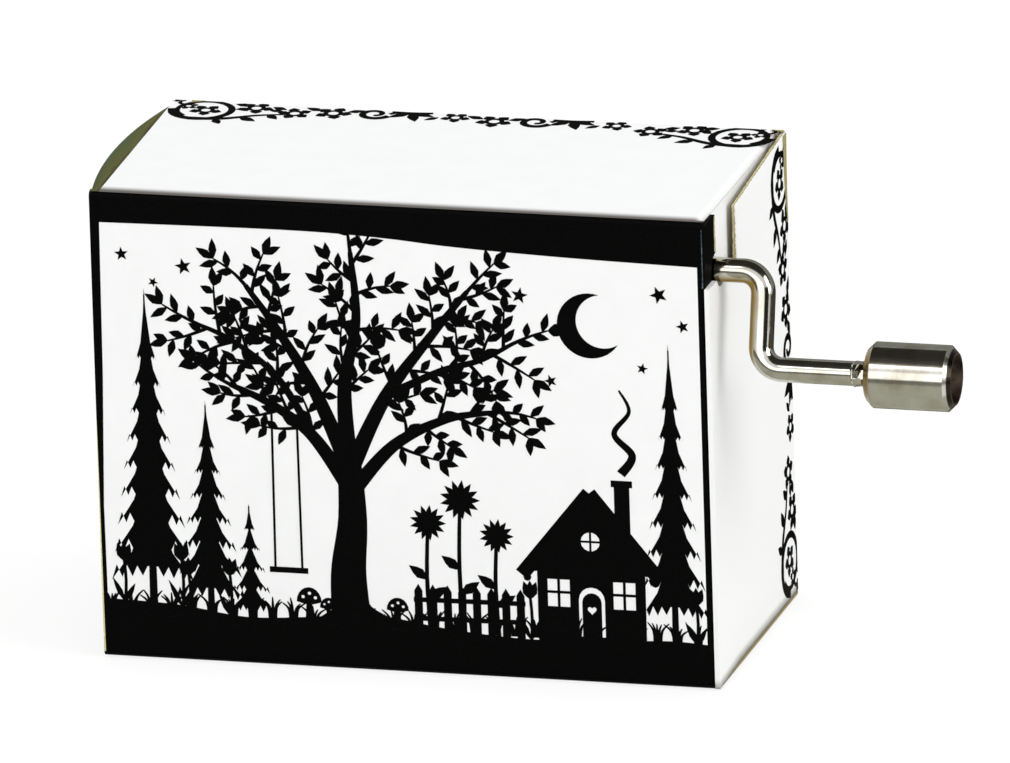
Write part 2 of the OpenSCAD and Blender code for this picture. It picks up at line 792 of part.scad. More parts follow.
module crank_clip() {
    x1 = drum_x - lug_x - lug_t - end_play;
    color("silver") crank_ring(x1 - clip_t, x1, thrust_r, wire_r + fit_gap);
}

module knob_washer() {
    color("silver") on_crank() translate([0, 0, -crank_throw]) difference() {
        bar_x(knob_washer_x, rivet_x, knob_washer_r);
        bar_x(knob_washer_x - eps, rivet_x + eps, wire_r + fit_gap);
    }
}

module crank_knob() {
    bore_r = wire_r + run_gap;
    color("silver") on_crank() translate([knob_x, 0, -crank_throw]) rotate([0, 90, 0])
        rotate_extrude() polygon([
            [bore_r, 0],
            [knob_r - knob_chamfer, 0],
            [knob_r, knob_chamfer],
            [knob_r, knob_l - knob_chamfer],
            [knob_r - knob_chamfer, knob_l],
            [hollow_r, knob_l],
            [hollow_r, knob_l - knob_hollow_l],
            [bore_r, knob_l - knob_hollow_l]
        ]);
}

carton_sleeve();
left_rolled_edge();
left_dust_flaps();
left_end_flap();
glue_strip();
right_top_flap();
right_bottom_flap();
right_front_flap();
right_end_panel();
mounting_board();
mounting_screws();
bedplate();
front_drum_bush();
rear_drum_bush();
inner_crank_bush();
outer_crank_bush();
comb();
comb_screws();
tuning_weights();
comb_dampers();
drum_tube();
drum_front_cap();
drum_rear_cap();
drum_arbor();
worm_wheel();
arbor_clip();
crank_wire();
crank_worm();
thrust_washers();
crank_clip();
knob_washer();
crank_knob();
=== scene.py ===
# %% [markdown]
# # A hand-cranked music box in a printed carton
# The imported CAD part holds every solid: the folded carton, the comb movement and the crank.
# This lesson gives each solid its finish and adds what a solid can't hold, which is the ink on
# the board and the marks that folding and pressing leave. The solids themselves stay as they are.

import math
import random

import bmesh
import bpy
import numpy as np
from mathutils import Matrix, Vector
from mathutils.geometry import delaunay_2d_cdt


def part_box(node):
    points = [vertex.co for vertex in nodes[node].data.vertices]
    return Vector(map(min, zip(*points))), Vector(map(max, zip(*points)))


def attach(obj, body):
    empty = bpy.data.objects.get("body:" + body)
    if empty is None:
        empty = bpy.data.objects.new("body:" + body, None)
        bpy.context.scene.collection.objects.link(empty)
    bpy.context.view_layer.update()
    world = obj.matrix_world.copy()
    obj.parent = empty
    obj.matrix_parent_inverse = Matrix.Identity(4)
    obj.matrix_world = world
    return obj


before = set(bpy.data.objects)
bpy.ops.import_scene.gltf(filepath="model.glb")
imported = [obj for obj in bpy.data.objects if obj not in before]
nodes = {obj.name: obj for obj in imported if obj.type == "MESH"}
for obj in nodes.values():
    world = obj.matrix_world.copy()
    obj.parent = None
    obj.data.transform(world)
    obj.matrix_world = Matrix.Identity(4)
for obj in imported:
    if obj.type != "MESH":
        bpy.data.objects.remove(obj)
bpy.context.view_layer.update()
MM = 0.001

# %% [markdown]
# ## Sizes that the finishes follow
# Ink and raw edges have to sit on the real creases, so the few sizes that they need are measured
# on the solids instead of being written down a second time.

# %% Measure the carton
sleeve_low, sleeve_high = (Vector(c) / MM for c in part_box("carton_sleeve"))
flap_low, flap_high = (Vector(c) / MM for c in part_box("right_front_flap"))
panel_high = Vector(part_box("right_end_panel")[1]) / MM
tuck_low = Vector(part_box("left_end_flap")[0]) / MM
front_y, back_y = sleeve_low.y, sleeve_high.y
left_x, right_x = sleeve_low.x, panel_high.x
top_z = sleeve_high.z
crease = flap_low.z
carton_size = (right_x - left_x, back_y - front_y, top_z)
print("carton in mm:", [round(side, 2) for side in carton_size], "crease", round(crease, 2))

# %% [markdown]
# ## Colours and nodes
# Colours are picked as sRGB hex values, as in any paint program, but shaders work on linear light.
# One function does that change. A second small function adds a node, sets its sockets and links it.
# All finishes here end alike: a colour ramp reads some shade, and a fine grain raises the surface
# and often roughens it. So one more function ends a finish in that way.

# %% Colours, links and nodes
def linear(hex_colour):
    channels = [int(hex_colour[i:i + 2], 16) / 255 for i in (1, 3, 5)]
    return [c / 12.92 if c <= 0.04045 else ((c + 0.055) / 1.055) ** 2.4 for c in channels] + [1.0]


def plug(tree, source, socket):
    """Links a socket to another one, or to a node's first output in use."""
    if isinstance(source, bpy.types.Node):
        source = next(output for output in source.outputs if output.enabled)
    tree.links.new(source, socket)


def add(tree, kind, sources=None, **settings):
    """Adds a node. Sources are numbers, sockets or nodes for its sockets."""
    node = tree.nodes.new(kind)
    for key, value in settings.items():
        if hasattr(node, key):
            setattr(node, key, value)
        else:
            node.inputs[key.replace("_", " ")].default_value = value
    for key, source in (sources or {}).items():
        if isinstance(source, float):
            node.inputs[key].default_value = source
        else:
            plug(tree, source, node.inputs[key])
    return node


print("white in linear light:", [round(c, 3) for c in linear("#FFFFFF")])

# %% How a finish starts and ends
def grains(size_mm):
    """Texture scale at which one grain is about this wide."""
    return 1 / (size_mm * MM)


def finish(name, **sockets):
    """A new material with its shader and its object coordinates."""
    material = bpy.data.materials.new(name)
    material.use_nodes = True
    tree = material.node_tree
    shader = tree.nodes["Principled BSDF"]
    for key, value in sockets.items():
        shader.inputs[key.replace("_", " ")].default_value = value
    return material, tree, shader, add(tree, "ShaderNodeTexCoord").outputs["Object"]


def surface(tree, shader, shade, stops, grain, relief, rough=None):
    """Colours by (place, hex) stops along the shade. The grain raises by a strength and a depth in mm."""
    ramp = add(tree, "ShaderNodeValToRGB", {"Fac": shade})
    while len(ramp.color_ramp.elements) < len(stops):
        ramp.color_ramp.elements.new(0.5)
    for element, (place, colour) in zip(ramp.color_ramp.elements, stops):
        element.position = place
        element.color = linear(colour)
    plug(tree, ramp, shader.inputs["Base Color"])
    if rough:
        spread = add(tree, "ShaderNodeMapRange", {"Value": grain}, To_Min=rough[0], To_Max=rough[1])
        plug(tree, spread, shader.inputs["Roughness"])
    raised = add(tree, "ShaderNodeBump", {"Height": grain}, Strength=relief[0], Distance=relief[1] * MM)
    plug(tree, raised, shader.inputs["Normal"])
    return ramp


print("texture scale for grains of 0.3 mm:", round(grains(0.3)))

# %% [markdown]
# ## Folding boxboard
# The carton is clay-coated boxboard: a smooth white coat on grey-tan pulp, printed and varnished.
# The coat gives a soft satin sheen, very faint clouds and fine fibres under the clay. The cut edge
# shows the bare pulp in layers, and the inside is the uncoated grey-cream back of the sheet. Above
# the front crease, painted shade greys the white of the top over 2 mm. A scan of board would show
# seams at the folds. Noise in object coordinates runs on through every fold.

# %% White coat, clean and with painted shade by a crease
COAT = "#F6F6F5"
COAT_ROUGH = (0.44, 0.58)
# Painted shade: the white coat greys towards #696561 near the front crease.
SHADE_REACH, SHADE_FULL = 2.2, 0.45  # mm from the front face
SHADE_LOW, SHADE_HIGH = 0.8, 0.3  # mm below the top face


def white_coat(name, crease_shaded=False):
    material, tree, shader, place = finish(name, Roughness=0.5, Specular_IOR_Level=0.1)
    clouds = add(tree, "ShaderNodeTexNoise", {"Vector": place}, Scale=grains(3), Detail=2.0)
    fibres = add(tree, "ShaderNodeTexNoise", {"Vector": place}, Scale=grains(0.3), Detail=3.0)
    ramp = surface(tree, shader, clouds, [(0.3, "#F5F5F4"), (0.7, "#F7F7F6")], fibres, (0.1, 0.02),
                   COAT_ROUGH)
    if crease_shaded:
        axes = add(tree, "ShaderNodeSeparateXYZ", {"Vector": place})
        near = add(tree, "ShaderNodeMapRange", {"Value": axes.outputs["Y"]}, interpolation_type="SMOOTHSTEP",
                   From_Min=(front_y + SHADE_REACH) * MM, From_Max=(front_y + SHADE_FULL) * MM)
        above = add(tree, "ShaderNodeMapRange", {"Value": axes.outputs["Z"]},
                    From_Min=(top_z - SHADE_LOW) * MM, From_Max=(top_z - SHADE_HIGH) * MM)
        # The mask of painted shade: strongest at the front face and just under the top.
        painted_shade = add(tree, "ShaderNodeMath", {0: near, 1: above}, operation="MULTIPLY")
        shaded = add(tree, "ShaderNodeMix", {"Factor": painted_shade, "A": ramp}, data_type="RGBA",
                     B=linear("#696561"))
        plug(tree, shaded, shader.inputs["Base Color"])
    return material


WHITE = white_coat("clay_coated_boxboard")
COAT_WITH_CREASE_SHADE = white_coat("boxboard_with_painted_crease_shade", crease_shaded=True)
print("white board:", WHITE.name, COAT_WITH_CREASE_SHADE.name)

# %% Raw edge and uncoated back
def grained(name, stops, grain_mm, relief, rough=None, detail=4.0, stretch=None, **sockets):
    """A finish in which one noise gives the colour, the relief and the roughness."""
    material, tree, shader, place = finish(name, **sockets)
    if stretch:
        place = add(tree, "ShaderNodeMapping", {"Vector": place}, Scale=stretch)
    grain = add(tree, "ShaderNodeTexNoise", {"Vector": place}, Scale=grains(grain_mm), Detail=detail)
    surface(tree, shader, grain, stops, grain, relief, rough)
    return material


RAW = grained("bare_pulp_edge", [(0.3, "#83764A"), (0.5, "#B3A676"), (0.72, "#DDD6B4")], 0.22, (0.5, 0.05),
              Roughness=0.9, Specular_IOR_Level=0.2)
BACK = grained("uncoated_board_back", [(0.3, "#B7AE98"), (0.5, "#CFC7B3"), (0.7, "#DDD7C6")], 0.5,
               (0.25, 0.03), detail=5.0, Roughness=0.88, Specular_IOR_Level=0.2)
print("bare board:", RAW.name, BACK.name)

# %% [markdown]
# ## The end panel's cut edge in layers
# The die that cuts the board crushes its edge. On the thick outer panel the layers show: cream and
# tan pulp in the middle and the white coat outside, with painted shade in dark brown on the inner side.
# Strips of mesh could show them, but a ramp leaves the solid as it is: the place through the sheet's
# thickness picks the layer, and fine noise makes the layers ragged.

# %% Layered edge
# The two darkest stops, on the inner side, are painted shade. The rest are the pulp layers and the coat.
LAYER_AND_SHADE_STOPS = [(0.0, "#4E4128"), (0.2, "#7A6C44"), (0.34, "#D9D0AA"), (0.55, "#B7AA7C"), (0.72, "#A2966A"),
               (0.82, COAT)]
LAYER_RAG = 0.16  # mm that the layers stray


def layered_edge():
    material, tree, shader, place = finish("die_cut_board_edge", Roughness=0.9, Specular_IOR_Level=0.2)
    axes = add(tree, "ShaderNodeSeparateXYZ", {"Vector": place})
    fibres = add(tree, "ShaderNodeTexNoise", {"Vector": place}, Scale=grains(0.3), Detail=4.0)
    shift = add(tree, "ShaderNodeMapRange", {"Value": fibres}, To_Min=-LAYER_RAG * MM, To_Max=LAYER_RAG * MM)
    through = add(tree, "ShaderNodeMath", {0: axes.outputs["X"], 1: shift}, operation="ADD")
    layer = add(tree, "ShaderNodeMapRange", {"Value": through}, From_Min=flap_high.x * MM,
                From_Max=right_x * MM)
    surface(tree, shader, layer, LAYER_AND_SHADE_STOPS, fibres, (0.5, 0.05))
    return material


LAYERS = layered_edge()
print("layered edge:", LAYERS.name)

# %% [markdown]
# ## Rubbed edges of the end panel, with painted shade above its foot
# The outer panel of the right end rubs on the table with its lower crease and on hands with its back
# one. There the coat wears through to the tan pulp, and above the foot a grey zone of painted shade fades
# out.
# Towards the front the foot is spared. A painted mask would need an image. Ramps need none: they
# read the height over the foot and the depth, and noise keeps their limits from being straight.

# %% White coat with a rubbed foot, painted shade above it and a rubbed back crease
# Tan pulp at the very foot, then a grey band of painted shade that fades up into the coat.
FOOT_WEAR_AND_SHADE_STOPS = [(0.0, "#8C7C44"), (0.17, "#94854E"), (0.23, "#6A655B"), (0.44, "#B9B7B3"), (0.8, COAT)]
FOOT_H, FOOT_RAG = 2.0, 0.12  # mm, as are all sizes here
SPARED_D, SPARED_H = 8, 0.5
BACK_WEAR_FROM, BACK_WEAR_FULL = 0.95, 0.7  # from the back face
TOP_WEAR_FROM, TOP_WEAR_FULL = 13, 6  # below the top face


def rubbed_and_shaded_coat():
    material, tree, shader, place = finish("boxboard_rubbed_with_painted_shade", Roughness=0.5,
                                           Specular_IOR_Level=0.1)
    axes = add(tree, "ShaderNodeSeparateXYZ", {"Vector": place})
    ragged = add(tree, "ShaderNodeTexNoise", {"Vector": place}, Scale=grains(0.9), Detail=4.0)
    shift = add(tree, "ShaderNodeMapRange", {"Value": ragged}, To_Min=-FOOT_RAG * MM, To_Max=FOOT_RAG * MM)
    ragged_z = add(tree, "ShaderNodeMath", {0: axes.outputs["Z"], 1: shift}, operation="ADD")
    spared = add(tree, "ShaderNodeMapRange", {"Value": axes.outputs["Y"]},
                 From_Min=(front_y + SPARED_D) * MM, From_Max=front_y * MM, To_Max=SPARED_H * MM)
    height = add(tree, "ShaderNodeMath", {0: ragged_z, 1: spared}, operation="ADD")
    foot = add(tree, "ShaderNodeMapRange", {"Value": height}, From_Min=0.0, From_Max=FOOT_H * MM)
    ramp = surface(tree, shader, foot, FOOT_WEAR_AND_SHADE_STOPS, ragged, (0.08, 0.02), COAT_ROUGH)
    depth = add(tree, "ShaderNodeMath", {0: axes.outputs["Y"], 1: shift}, operation="ADD")
    at_back = add(tree, "ShaderNodeMapRange", {"Value": depth},
                  From_Min=(back_y - BACK_WEAR_FROM) * MM, From_Max=(back_y - BACK_WEAR_FULL) * MM)
    near_top = add(tree, "ShaderNodeMapRange", {"Value": axes.outputs["Z"]},
                   From_Min=(top_z - TOP_WEAR_FROM) * MM, From_Max=(top_z - TOP_WEAR_FULL) * MM)
    worn = add(tree, "ShaderNodeMath", {0: at_back, 1: near_top}, operation="MULTIPLY")
    both = add(tree, "ShaderNodeMix", {"Factor": worn, "A": ramp}, data_type="RGBA", B=linear("#A69C6C"))
    plug(tree, both, shader.inputs["Base Color"])
    return material


RUBBED_AND_SHADED = rubbed_and_shaded_coat()
print("rubbed coat:", RUBBED_AND_SHADED.name)

# %% [markdown]
# ## Black ink and bared pulp
# A solid of offset ink is almost black, and dull where the board drinks it. The fine speckle is the
# coat showing through. It is drawn at 0.25 mm, coarser than real, so that it shows in a render.
# Pulp that rubbing has bared is as dull and speckled, so the same function makes it in tan.

# %% Offset ink, a painted highlight, a painted shade and bared pulp
def speckled_film(name, stops):
    return grained(name, stops, 0.25, (0.08, 0.02), (0.48, 0.66), Roughness=0.6, Specular_IOR_Level=0.025)


INK = speckled_film("offset_black_ink", [(0.3, "#040404"), (0.62, "#070707"), (0.8, "#121212")])
# The same dull, speckled film also makes a painted highlight for a crease and a painted shade for a fold.
CREASE_HIGHLIGHT = speckled_film("painted_highlight_on_a_crease", [(0.35, "#2A2E32"), (0.55, "#47535C"), (0.75, "#6E7F8C")])
PULP = speckled_film("pulp_bared_by_rubbing", [(0.35, "#938A58"), (0.55, "#A29969"), (0.75, "#B4AC80")])
FOLD_SHADE = speckled_film("painted_shade_on_a_fold", [(0.35, "#A9A9A6"), (0.55, "#BEBEBB"), (0.75, "#D2D2CF")])
PALE_PULP = speckled_film("pulp_under_thin_coat", [(0.35, "#C9C08C"), (0.55, "#D8D1A2"), (0.75, "#E6E1BE")])
print("inks:", INK.name, CREASE_HIGHLIGHT.name, PULP.name, FOLD_SHADE.name, PALE_PULP.name)

# %% [markdown]
# ## Olive end
# The left end is bare dyed board, which shows at the top as a soft roll. It is olive in the middle,
# greener towards the outside of the roll, where painted light falls, and brown with painted shade by
# the top panel's cut edge, with streaks along the roll where the board was bent. A colour ramp reads
# the distance from that slanting edge plus the streaks. The flat end below the roll was not bent, so
# it has only clouds and the flecks of the fibres, in the green that the roll ends with.

# %% Roll of dyed board
SEAM_X, SEAM_SLANT = -31.4, 0.0258  # the top panel's cut edge, in mm and in mm per mm of depth
ROLL_W = 2.2
# Greener stops towards the outside are painted light, and the brown ones by the seam are painted shade.
ROLL_LIGHT_AND_SHADE_STOPS = [(0.1, "#566A5E"), (0.32, "#4F5B42"), (0.5, "#535934"), (0.72, "#5D5D36"), (0.86, "#4A4429"),
              (0.97, "#3A3420")]


def dyed_board():
    material, tree, shader, place = finish("olive_dyed_board", Roughness=0.8, Specular_IOR_Level=0.2)
    axes = add(tree, "ShaderNodeSeparateXYZ", {"Vector": place})
    stretched = add(tree, "ShaderNodeMapping", {"Vector": place}, Scale=(1.0, 0.08, 1.0))
    streaks = add(tree, "ShaderNodeTexNoise", {"Vector": stretched}, Scale=grains(0.4), Detail=4.0)
    slant = add(tree, "ShaderNodeMath", {0: axes.outputs["Y"], 1: SEAM_SLANT}, operation="MULTIPLY")
    from_seam = add(tree, "ShaderNodeMath", {0: axes.outputs["X"], 1: slant}, operation="ADD")
    across = add(tree, "ShaderNodeMapRange", {"Value": from_seam},
                 From_Min=(SEAM_X - ROLL_W) * MM, From_Max=SEAM_X * MM, To_Max=0.7)
    uneven = add(tree, "ShaderNodeMapRange", {"Value": streaks}, From_Min=0.3, From_Max=0.7, To_Max=0.3)
    mixed = add(tree, "ShaderNodeMath", {0: across, 1: uneven}, operation="ADD")
    surface(tree, shader, mixed, ROLL_LIGHT_AND_SHADE_STOPS, streaks, (0.3, 0.04), (0.7, 0.9))
    return material


OLIVE = dyed_board()
print("roll:", OLIVE.name)

# %% Flat dyed board
FLAT_STOPS = [(0.2, "#4B513A"), (0.5, "#555B42"), (0.8, "#61664A")]


def flat_dyed_board():
    material, tree, shader, place = finish("olive_dyed_board_flat", Roughness=0.82, Specular_IOR_Level=0.2)
    clouds = add(tree, "ShaderNodeTexNoise", {"Vector": place}, Scale=grains(5), Detail=3.0)
    flecks = add(tree, "ShaderNodeTexNoise", {"Vector": place}, Scale=grains(0.35), Detail=4.0)
    fine = add(tree, "ShaderNodeMapRange", {"Value": flecks}, To_Min=-0.3, To_Max=0.3)
    mixed = add(tree, "ShaderNodeMath", {0: clouds, 1: fine}, operation="ADD")
    surface(tree, shader, mixed, FLAT_STOPS, flecks, (0.25, 0.04), (0.74, 0.9))
    return material


FLAT_OLIVE = flat_dyed_board()
print("flat end:", FLAT_OLIVE.name)

# %% [markdown]
# ## Bright nickel
# The crank is steel wire drawn through a die, so its fine lines run along it. The knob is turned on
# a lathe, so its lines run round it. Both are plated with nickel, which is bright and a little warm.
# An anisotropic shader would stretch the highlights alone. Stretched noise shows the lines as well.
# Lines as fine as the real ones would vanish, so they are drawn 0.15 mm apart. The plating is thin
# and brassy on the knob's inner end, and a warm tint lies inside the wire's upper bend; masks along
# the axes lay both. The knob's hollow is dull and brown, because the plating bath hardly reaches into
# it. The inner half of the chamfer round it is tinted nearly black, which is painted shade.

# %% One function for plated metal
LINE_MM = 0.15


def nickel(name, stretch, rough, depth, stops, tint=None):
    """A tint is a colour and, for each axis that limits it, the places in mm where it ends and is full."""
    material, tree, shader, place = finish(name, Metallic=1.0, Roughness=0.2)
    lines = add(tree, "ShaderNodeMapping", {"Vector": place}, Scale=stretch)
    marks = add(tree, "ShaderNodeTexNoise", {"Vector": lines}, Scale=grains(LINE_MM), Detail=3.0)
    tarnish = add(tree, "ShaderNodeTexNoise", {"Vector": place}, Scale=grains(2.5), Detail=3.0)
    ramp = surface(tree, shader, tarnish, stops, marks, (1.0, depth), rough)
    if tint:
        colour, limits = tint
        axes = add(tree, "ShaderNodeSeparateXYZ", {"Vector": place})
        warm = 1.0
        for axis, none, full in limits:
            mask = add(tree, "ShaderNodeMapRange", {"Value": axes.outputs[axis]},
                       From_Min=none * MM, From_Max=full * MM)
            warm = add(tree, "ShaderNodeMath", {0: warm, 1: mask}, operation="MULTIPLY")
        tinted = add(tree, "ShaderNodeMix", {"Factor": warm, "A": ramp}, data_type="RGBA", B=linear(colour))
        plug(tree, tinted, shader.inputs["Base Color"])
    return material


print("lines in a millimetre of plating:", round(1 / LINE_MM, 1))

# %% Drawn wire and turned knob
knob_low, knob_high = (Vector(c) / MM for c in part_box("crank_knob"))
knob_middle = (knob_low + knob_high) / 2
BRIGHT = [(0.3, "#B4AE9F"), (0.55, "#CBC9C0"), (0.75, "#D6D5CF")]
DULL = [(0.35, "#5A4E46"), (0.5, "#8C7C70"), (0.65, "#C2AE9C")]
ALONG, ROUND = (0.05, 1.0, 1.0), (1.0, 0.06, 0.06)  # how the lines run
bend_tint = ("#8E7534", [("X", 36.3, 35.7), ("Z", 42.6, 41.9)])
inner_tint = ("#7C6738", [("X", knob_low.x + 0.8, knob_low.x + 0.6)])
# Painted shade: the inner half of the knob's chamfer is tinted nearly black.
lip_shade_tint = ("#2E2822", [("X", knob_high.x - 0.42, knob_high.x - 0.34)])
WIRE = nickel("nickel_drawn_wire", ALONG, (0.07, 0.15), 0.001, BRIGHT, bend_tint)
PINCHED = nickel("nickel_pinched_wire", (0.3, 0.3, 0.3), (0.08, 0.18), 0.02, BRIGHT)
KNOB = nickel("nickel_turned_knob", ROUND, (0.1, 0.2), 0.002, BRIGHT, inner_tint)
LIP = nickel("nickel_turned_lip", ROUND, (0.12, 0.24), 0.002, BRIGHT, lip_shade_tint)
HOLLOW = nickel("nickel_dull_hollow", (0.6, 0.6, 0.6), (0.3, 0.45), 0.01, DULL)
print("nickel:", WIRE.name, PINCHED.name, KNOB.name, LIP.name, HOLLOW.name)

# %% [markdown]
# ## Metals and plastics of the movement
# The movement is hidden until the left end swings open. Its bedplate is tumbled die-cast zinc, its
# comb ground spring steel, its drum and bushes drawn brass, and its worm drive moulded nylon. Cast
# zinc looks dull and grainy, ground steel and drawn brass show fine lines, lead is dark and matt, and
# nylon is milky. One noise, stretched where lines run, gives each its colour, relief and roughness.

# %% One function for the plain finishes, with their own grain
def movement_finish(name, colours, grain_mm, rough, metallic=1.0, stretch=None, relief=0.2):
    return grained(name, list(zip((0.3, 0.7), colours)), grain_mm, (relief, 0.03), rough, stretch=stretch,
                   Metallic=metallic, Roughness=rough[0])


ZINC = movement_finish("die_cast_zinc", ("#9A9C9E", "#B8BABC"), 0.35, (0.34, 0.5), relief=0.15)
STEEL = movement_finish("zinc_flashed_steel", ("#A9ABAE", "#C9CBCE"), 0.3, (0.25, 0.42))
SPRING = movement_finish("ground_spring_steel", ("#8C949E", "#AEB6C0"), 0.2, (0.22, 0.38),
                         stretch=(1, 0.08, 1))
BRASS = movement_finish("drawn_brass", ("#B08A3C", "#D9B765"), 0.25, (0.22, 0.4), stretch=(1, 0.1, 1))
LEAD = movement_finish("dull_lead", ("#4C4F54", "#6D7176"), 0.4, (0.55, 0.75))
NYLON = movement_finish("natural_nylon", ("#D8D3C4", "#E8E4D8"), 0.6, (0.42, 0.55), metallic=0.0)
GREYBOARD = movement_finish("raw_greyboard", ("#8F8472", "#B1A794"), 0.45, (0.85, 0.95), metallic=0.0,
                            relief=0.5)
print("movement finishes:", ", ".join(m.name for m in (ZINC, STEEL, SPRING, BRASS, LEAD, NYLON, GREYBOARD)))

# %% [markdown]
# ## Finishes on the solids
# A node of board has several finishes: its coat, its cut edges, its inside. Each triangle takes the
# one that its place and its direction ask for, which leaves the mesh as it is. A test is a small
# function of the triangle's centre, in millimetres, and its normal.

# %% Tests for the sleeve and the left end
def sleeve_part(at, normal):
    """Coat, pulp on the left cut edge, bare inside, and ink on the front's creases and right edge."""
    on_front = at.y < front_y + crease + 0.02
    if normal.x > 0.7:
        return 3 if on_front else 0
    if normal.x < -0.7:
        return 0 if at.z > top_z - crease else 1
    if abs(at.y) < back_y - 0.4 and 0.4 < at.z < top_z - 0.4:
        return 2
    on_crease = not crease < at.z < top_z - crease
    if on_front and on_crease and at.x > flap_low.x - 0.6 and abs(normal.z) > 0.9:
        return 3
    return 3 if on_front and on_crease and normal.y < -0.45 else 0


def dust_flap_part(at, normal):
    """Coat outside, bare back inside, pulp on the cut edges."""
    if abs(normal.x) < 0.3:
        return 1
    return 0 if normal.x < 0 else 2


def tuck_part(at, normal):
    """The left end: dyed outside and under its tongue, bare inside, pulp on its cut edges."""
    tongue_top = tuck_low.z + 0.6
    if abs(normal.y) > 0.6 or normal.z > 0.6 and at.z > tongue_top or normal.x > 0.6 and at.z < tongue_top:
        return 1
    return 0 if normal.x < -0.3 or normal.z < -0.6 else 2


print("a face up on the top panel takes finish", sleeve_part(Vector((0, 0, top_z)), Vector((0, 0, 1))))

# %% Tests for the right end and the knob
NOTCH_Z, NOTCH_D = 43, 8  # the corner cut out for the crank, in mm


def fold_part(edge):
    """Coat outside, bare inside, pulp on the sides and on the free edge, which faces up or down."""
    def pick(at, normal):
        if normal.x < -0.3:
            return 2
        return 1 if abs(normal.y) > 0.6 or normal.z * edge > 0.6 else 0
    return pick


def panel_part(at, normal):
    """The layers show on the edge over the crank and on the top edge behind it."""
    notch_edge = normal.y < -0.5 and at.z > NOTCH_Z
    top_edge = normal.z > 0.5 and at.y > front_y + NOTCH_D
    if notch_edge or top_edge:
        return 1
    return 2 if normal.x < -0.3 else 0


def front_flap_part(at, normal):
    """Ink, with pulp on the free edge and the bare back inside."""
    if normal.y > 0.6 and at.y > flap_high.y - 0.05:
        return 1
    return 2 if normal.x < -0.3 and at.y > front_y + crease else 0


def knob_part(at, normal):
    """Dull in the open end's hollow, whose walls face the axis, with a lip of its own round it."""
    inward = normal.y * (at.y - knob_middle.y) + normal.z * (at.z - knob_middle.z) < -0.1
    if at.x > knob_middle.x and (inward or normal.x > 0.9):
        return 2
    return 1 if at.x > knob_middle.x and normal.x > 0.3 else 0


print("the open end of the knob takes finish", knob_part(knob_high, Vector((1, 0, 0))))

# %% Give every node its finish
TESTED = (
    ("carton_sleeve", [COAT_WITH_CREASE_SHADE, RAW, BACK, INK], sleeve_part),
    ("left_end_flap", [FLAT_OLIVE, RAW, BACK], tuck_part),
    ("left_dust_flaps", [WHITE, RAW, BACK], dust_flap_part),
    ("right_top_flap", [COAT_WITH_CREASE_SHADE, RAW, BACK], fold_part(-1)),
    ("right_bottom_flap", [WHITE, RAW, BACK], fold_part(1)),
    ("right_front_flap", [INK, RAW, BACK], front_flap_part),
    ("right_end_panel", [RUBBED_AND_SHADED, LAYERS, BACK], panel_part),
    ("crank_knob", [KNOB, LIP, HOLLOW], knob_part),
)
PLAIN = (
    (OLIVE, ("left_rolled_edge",)),
    (BACK, ("glue_strip",)),
    (GREYBOARD, ("mounting_board",)),
    (ZINC, ("bedplate",)),
    (SPRING, ("comb",)),
    (LEAD, ("tuning_weights",)),
    (WIRE, ("crank_wire",)),
    (STEEL, ("mounting_screws", "comb_screws", "drum_arbor", "arbor_clip")),
    (STEEL, ("thrust_washers", "crank_clip", "knob_washer")),
    (BRASS, ("front_drum_bush", "rear_drum_bush", "inner_crank_bush", "outer_crank_bush")),
    (BRASS, ("drum_tube", "drum_front_cap", "drum_rear_cap")),
    (NYLON, ("worm_wheel", "crank_worm", "comb_dampers")),
)


def dress(node, materials, pick=None):
    """Fills the node's slots and says how many faces took each."""
    mesh = nodes[node].data
    mesh.materials.clear()
    for material in materials:
        mesh.materials.append(material)
    used = [0] * len(materials)
    for face in mesh.polygons:
        face.material_index = pick(face.center / MM, face.normal) if pick else 0
        used[face.material_index] += 1
    return used


dressed = {node: dress(node, materials, pick) for node, materials, pick in TESTED}
for material, plain_nodes in PLAIN:
    dressed.update({node: dress(node, [material]) for node in plain_nodes})
print("dressed", len(dressed), "of", len(nodes), "nodes:", dressed)

# %% [markdown]
# ## The crushed pinch
# A tool pinches the wire beside the knob, so that two ears stand out and keep the knob in place. Its
# jaws leave crushed facets round the ears. They are a short tube of eleven sides round the wire,
# wider towards the ears, cut into rings whose corners are pushed in and out. Sculpting would do it
# too, but a seeded generator makes the same dents on every run. The two closed ends of the tube dive
# into the wire, so the facets fade into it.

# %% Facets round the ears
def finished(bm, name, material):
    """Makes the bmesh an object of the scene, with its material."""
    mesh = bpy.data.meshes.new(name)
    bm.to_mesh(mesh)
    bm.free()
    mesh.materials.append(material)
    piece = bpy.data.objects.new(name, mesh)
    bpy.context.scene.collection.objects.link(piece)
    return piece


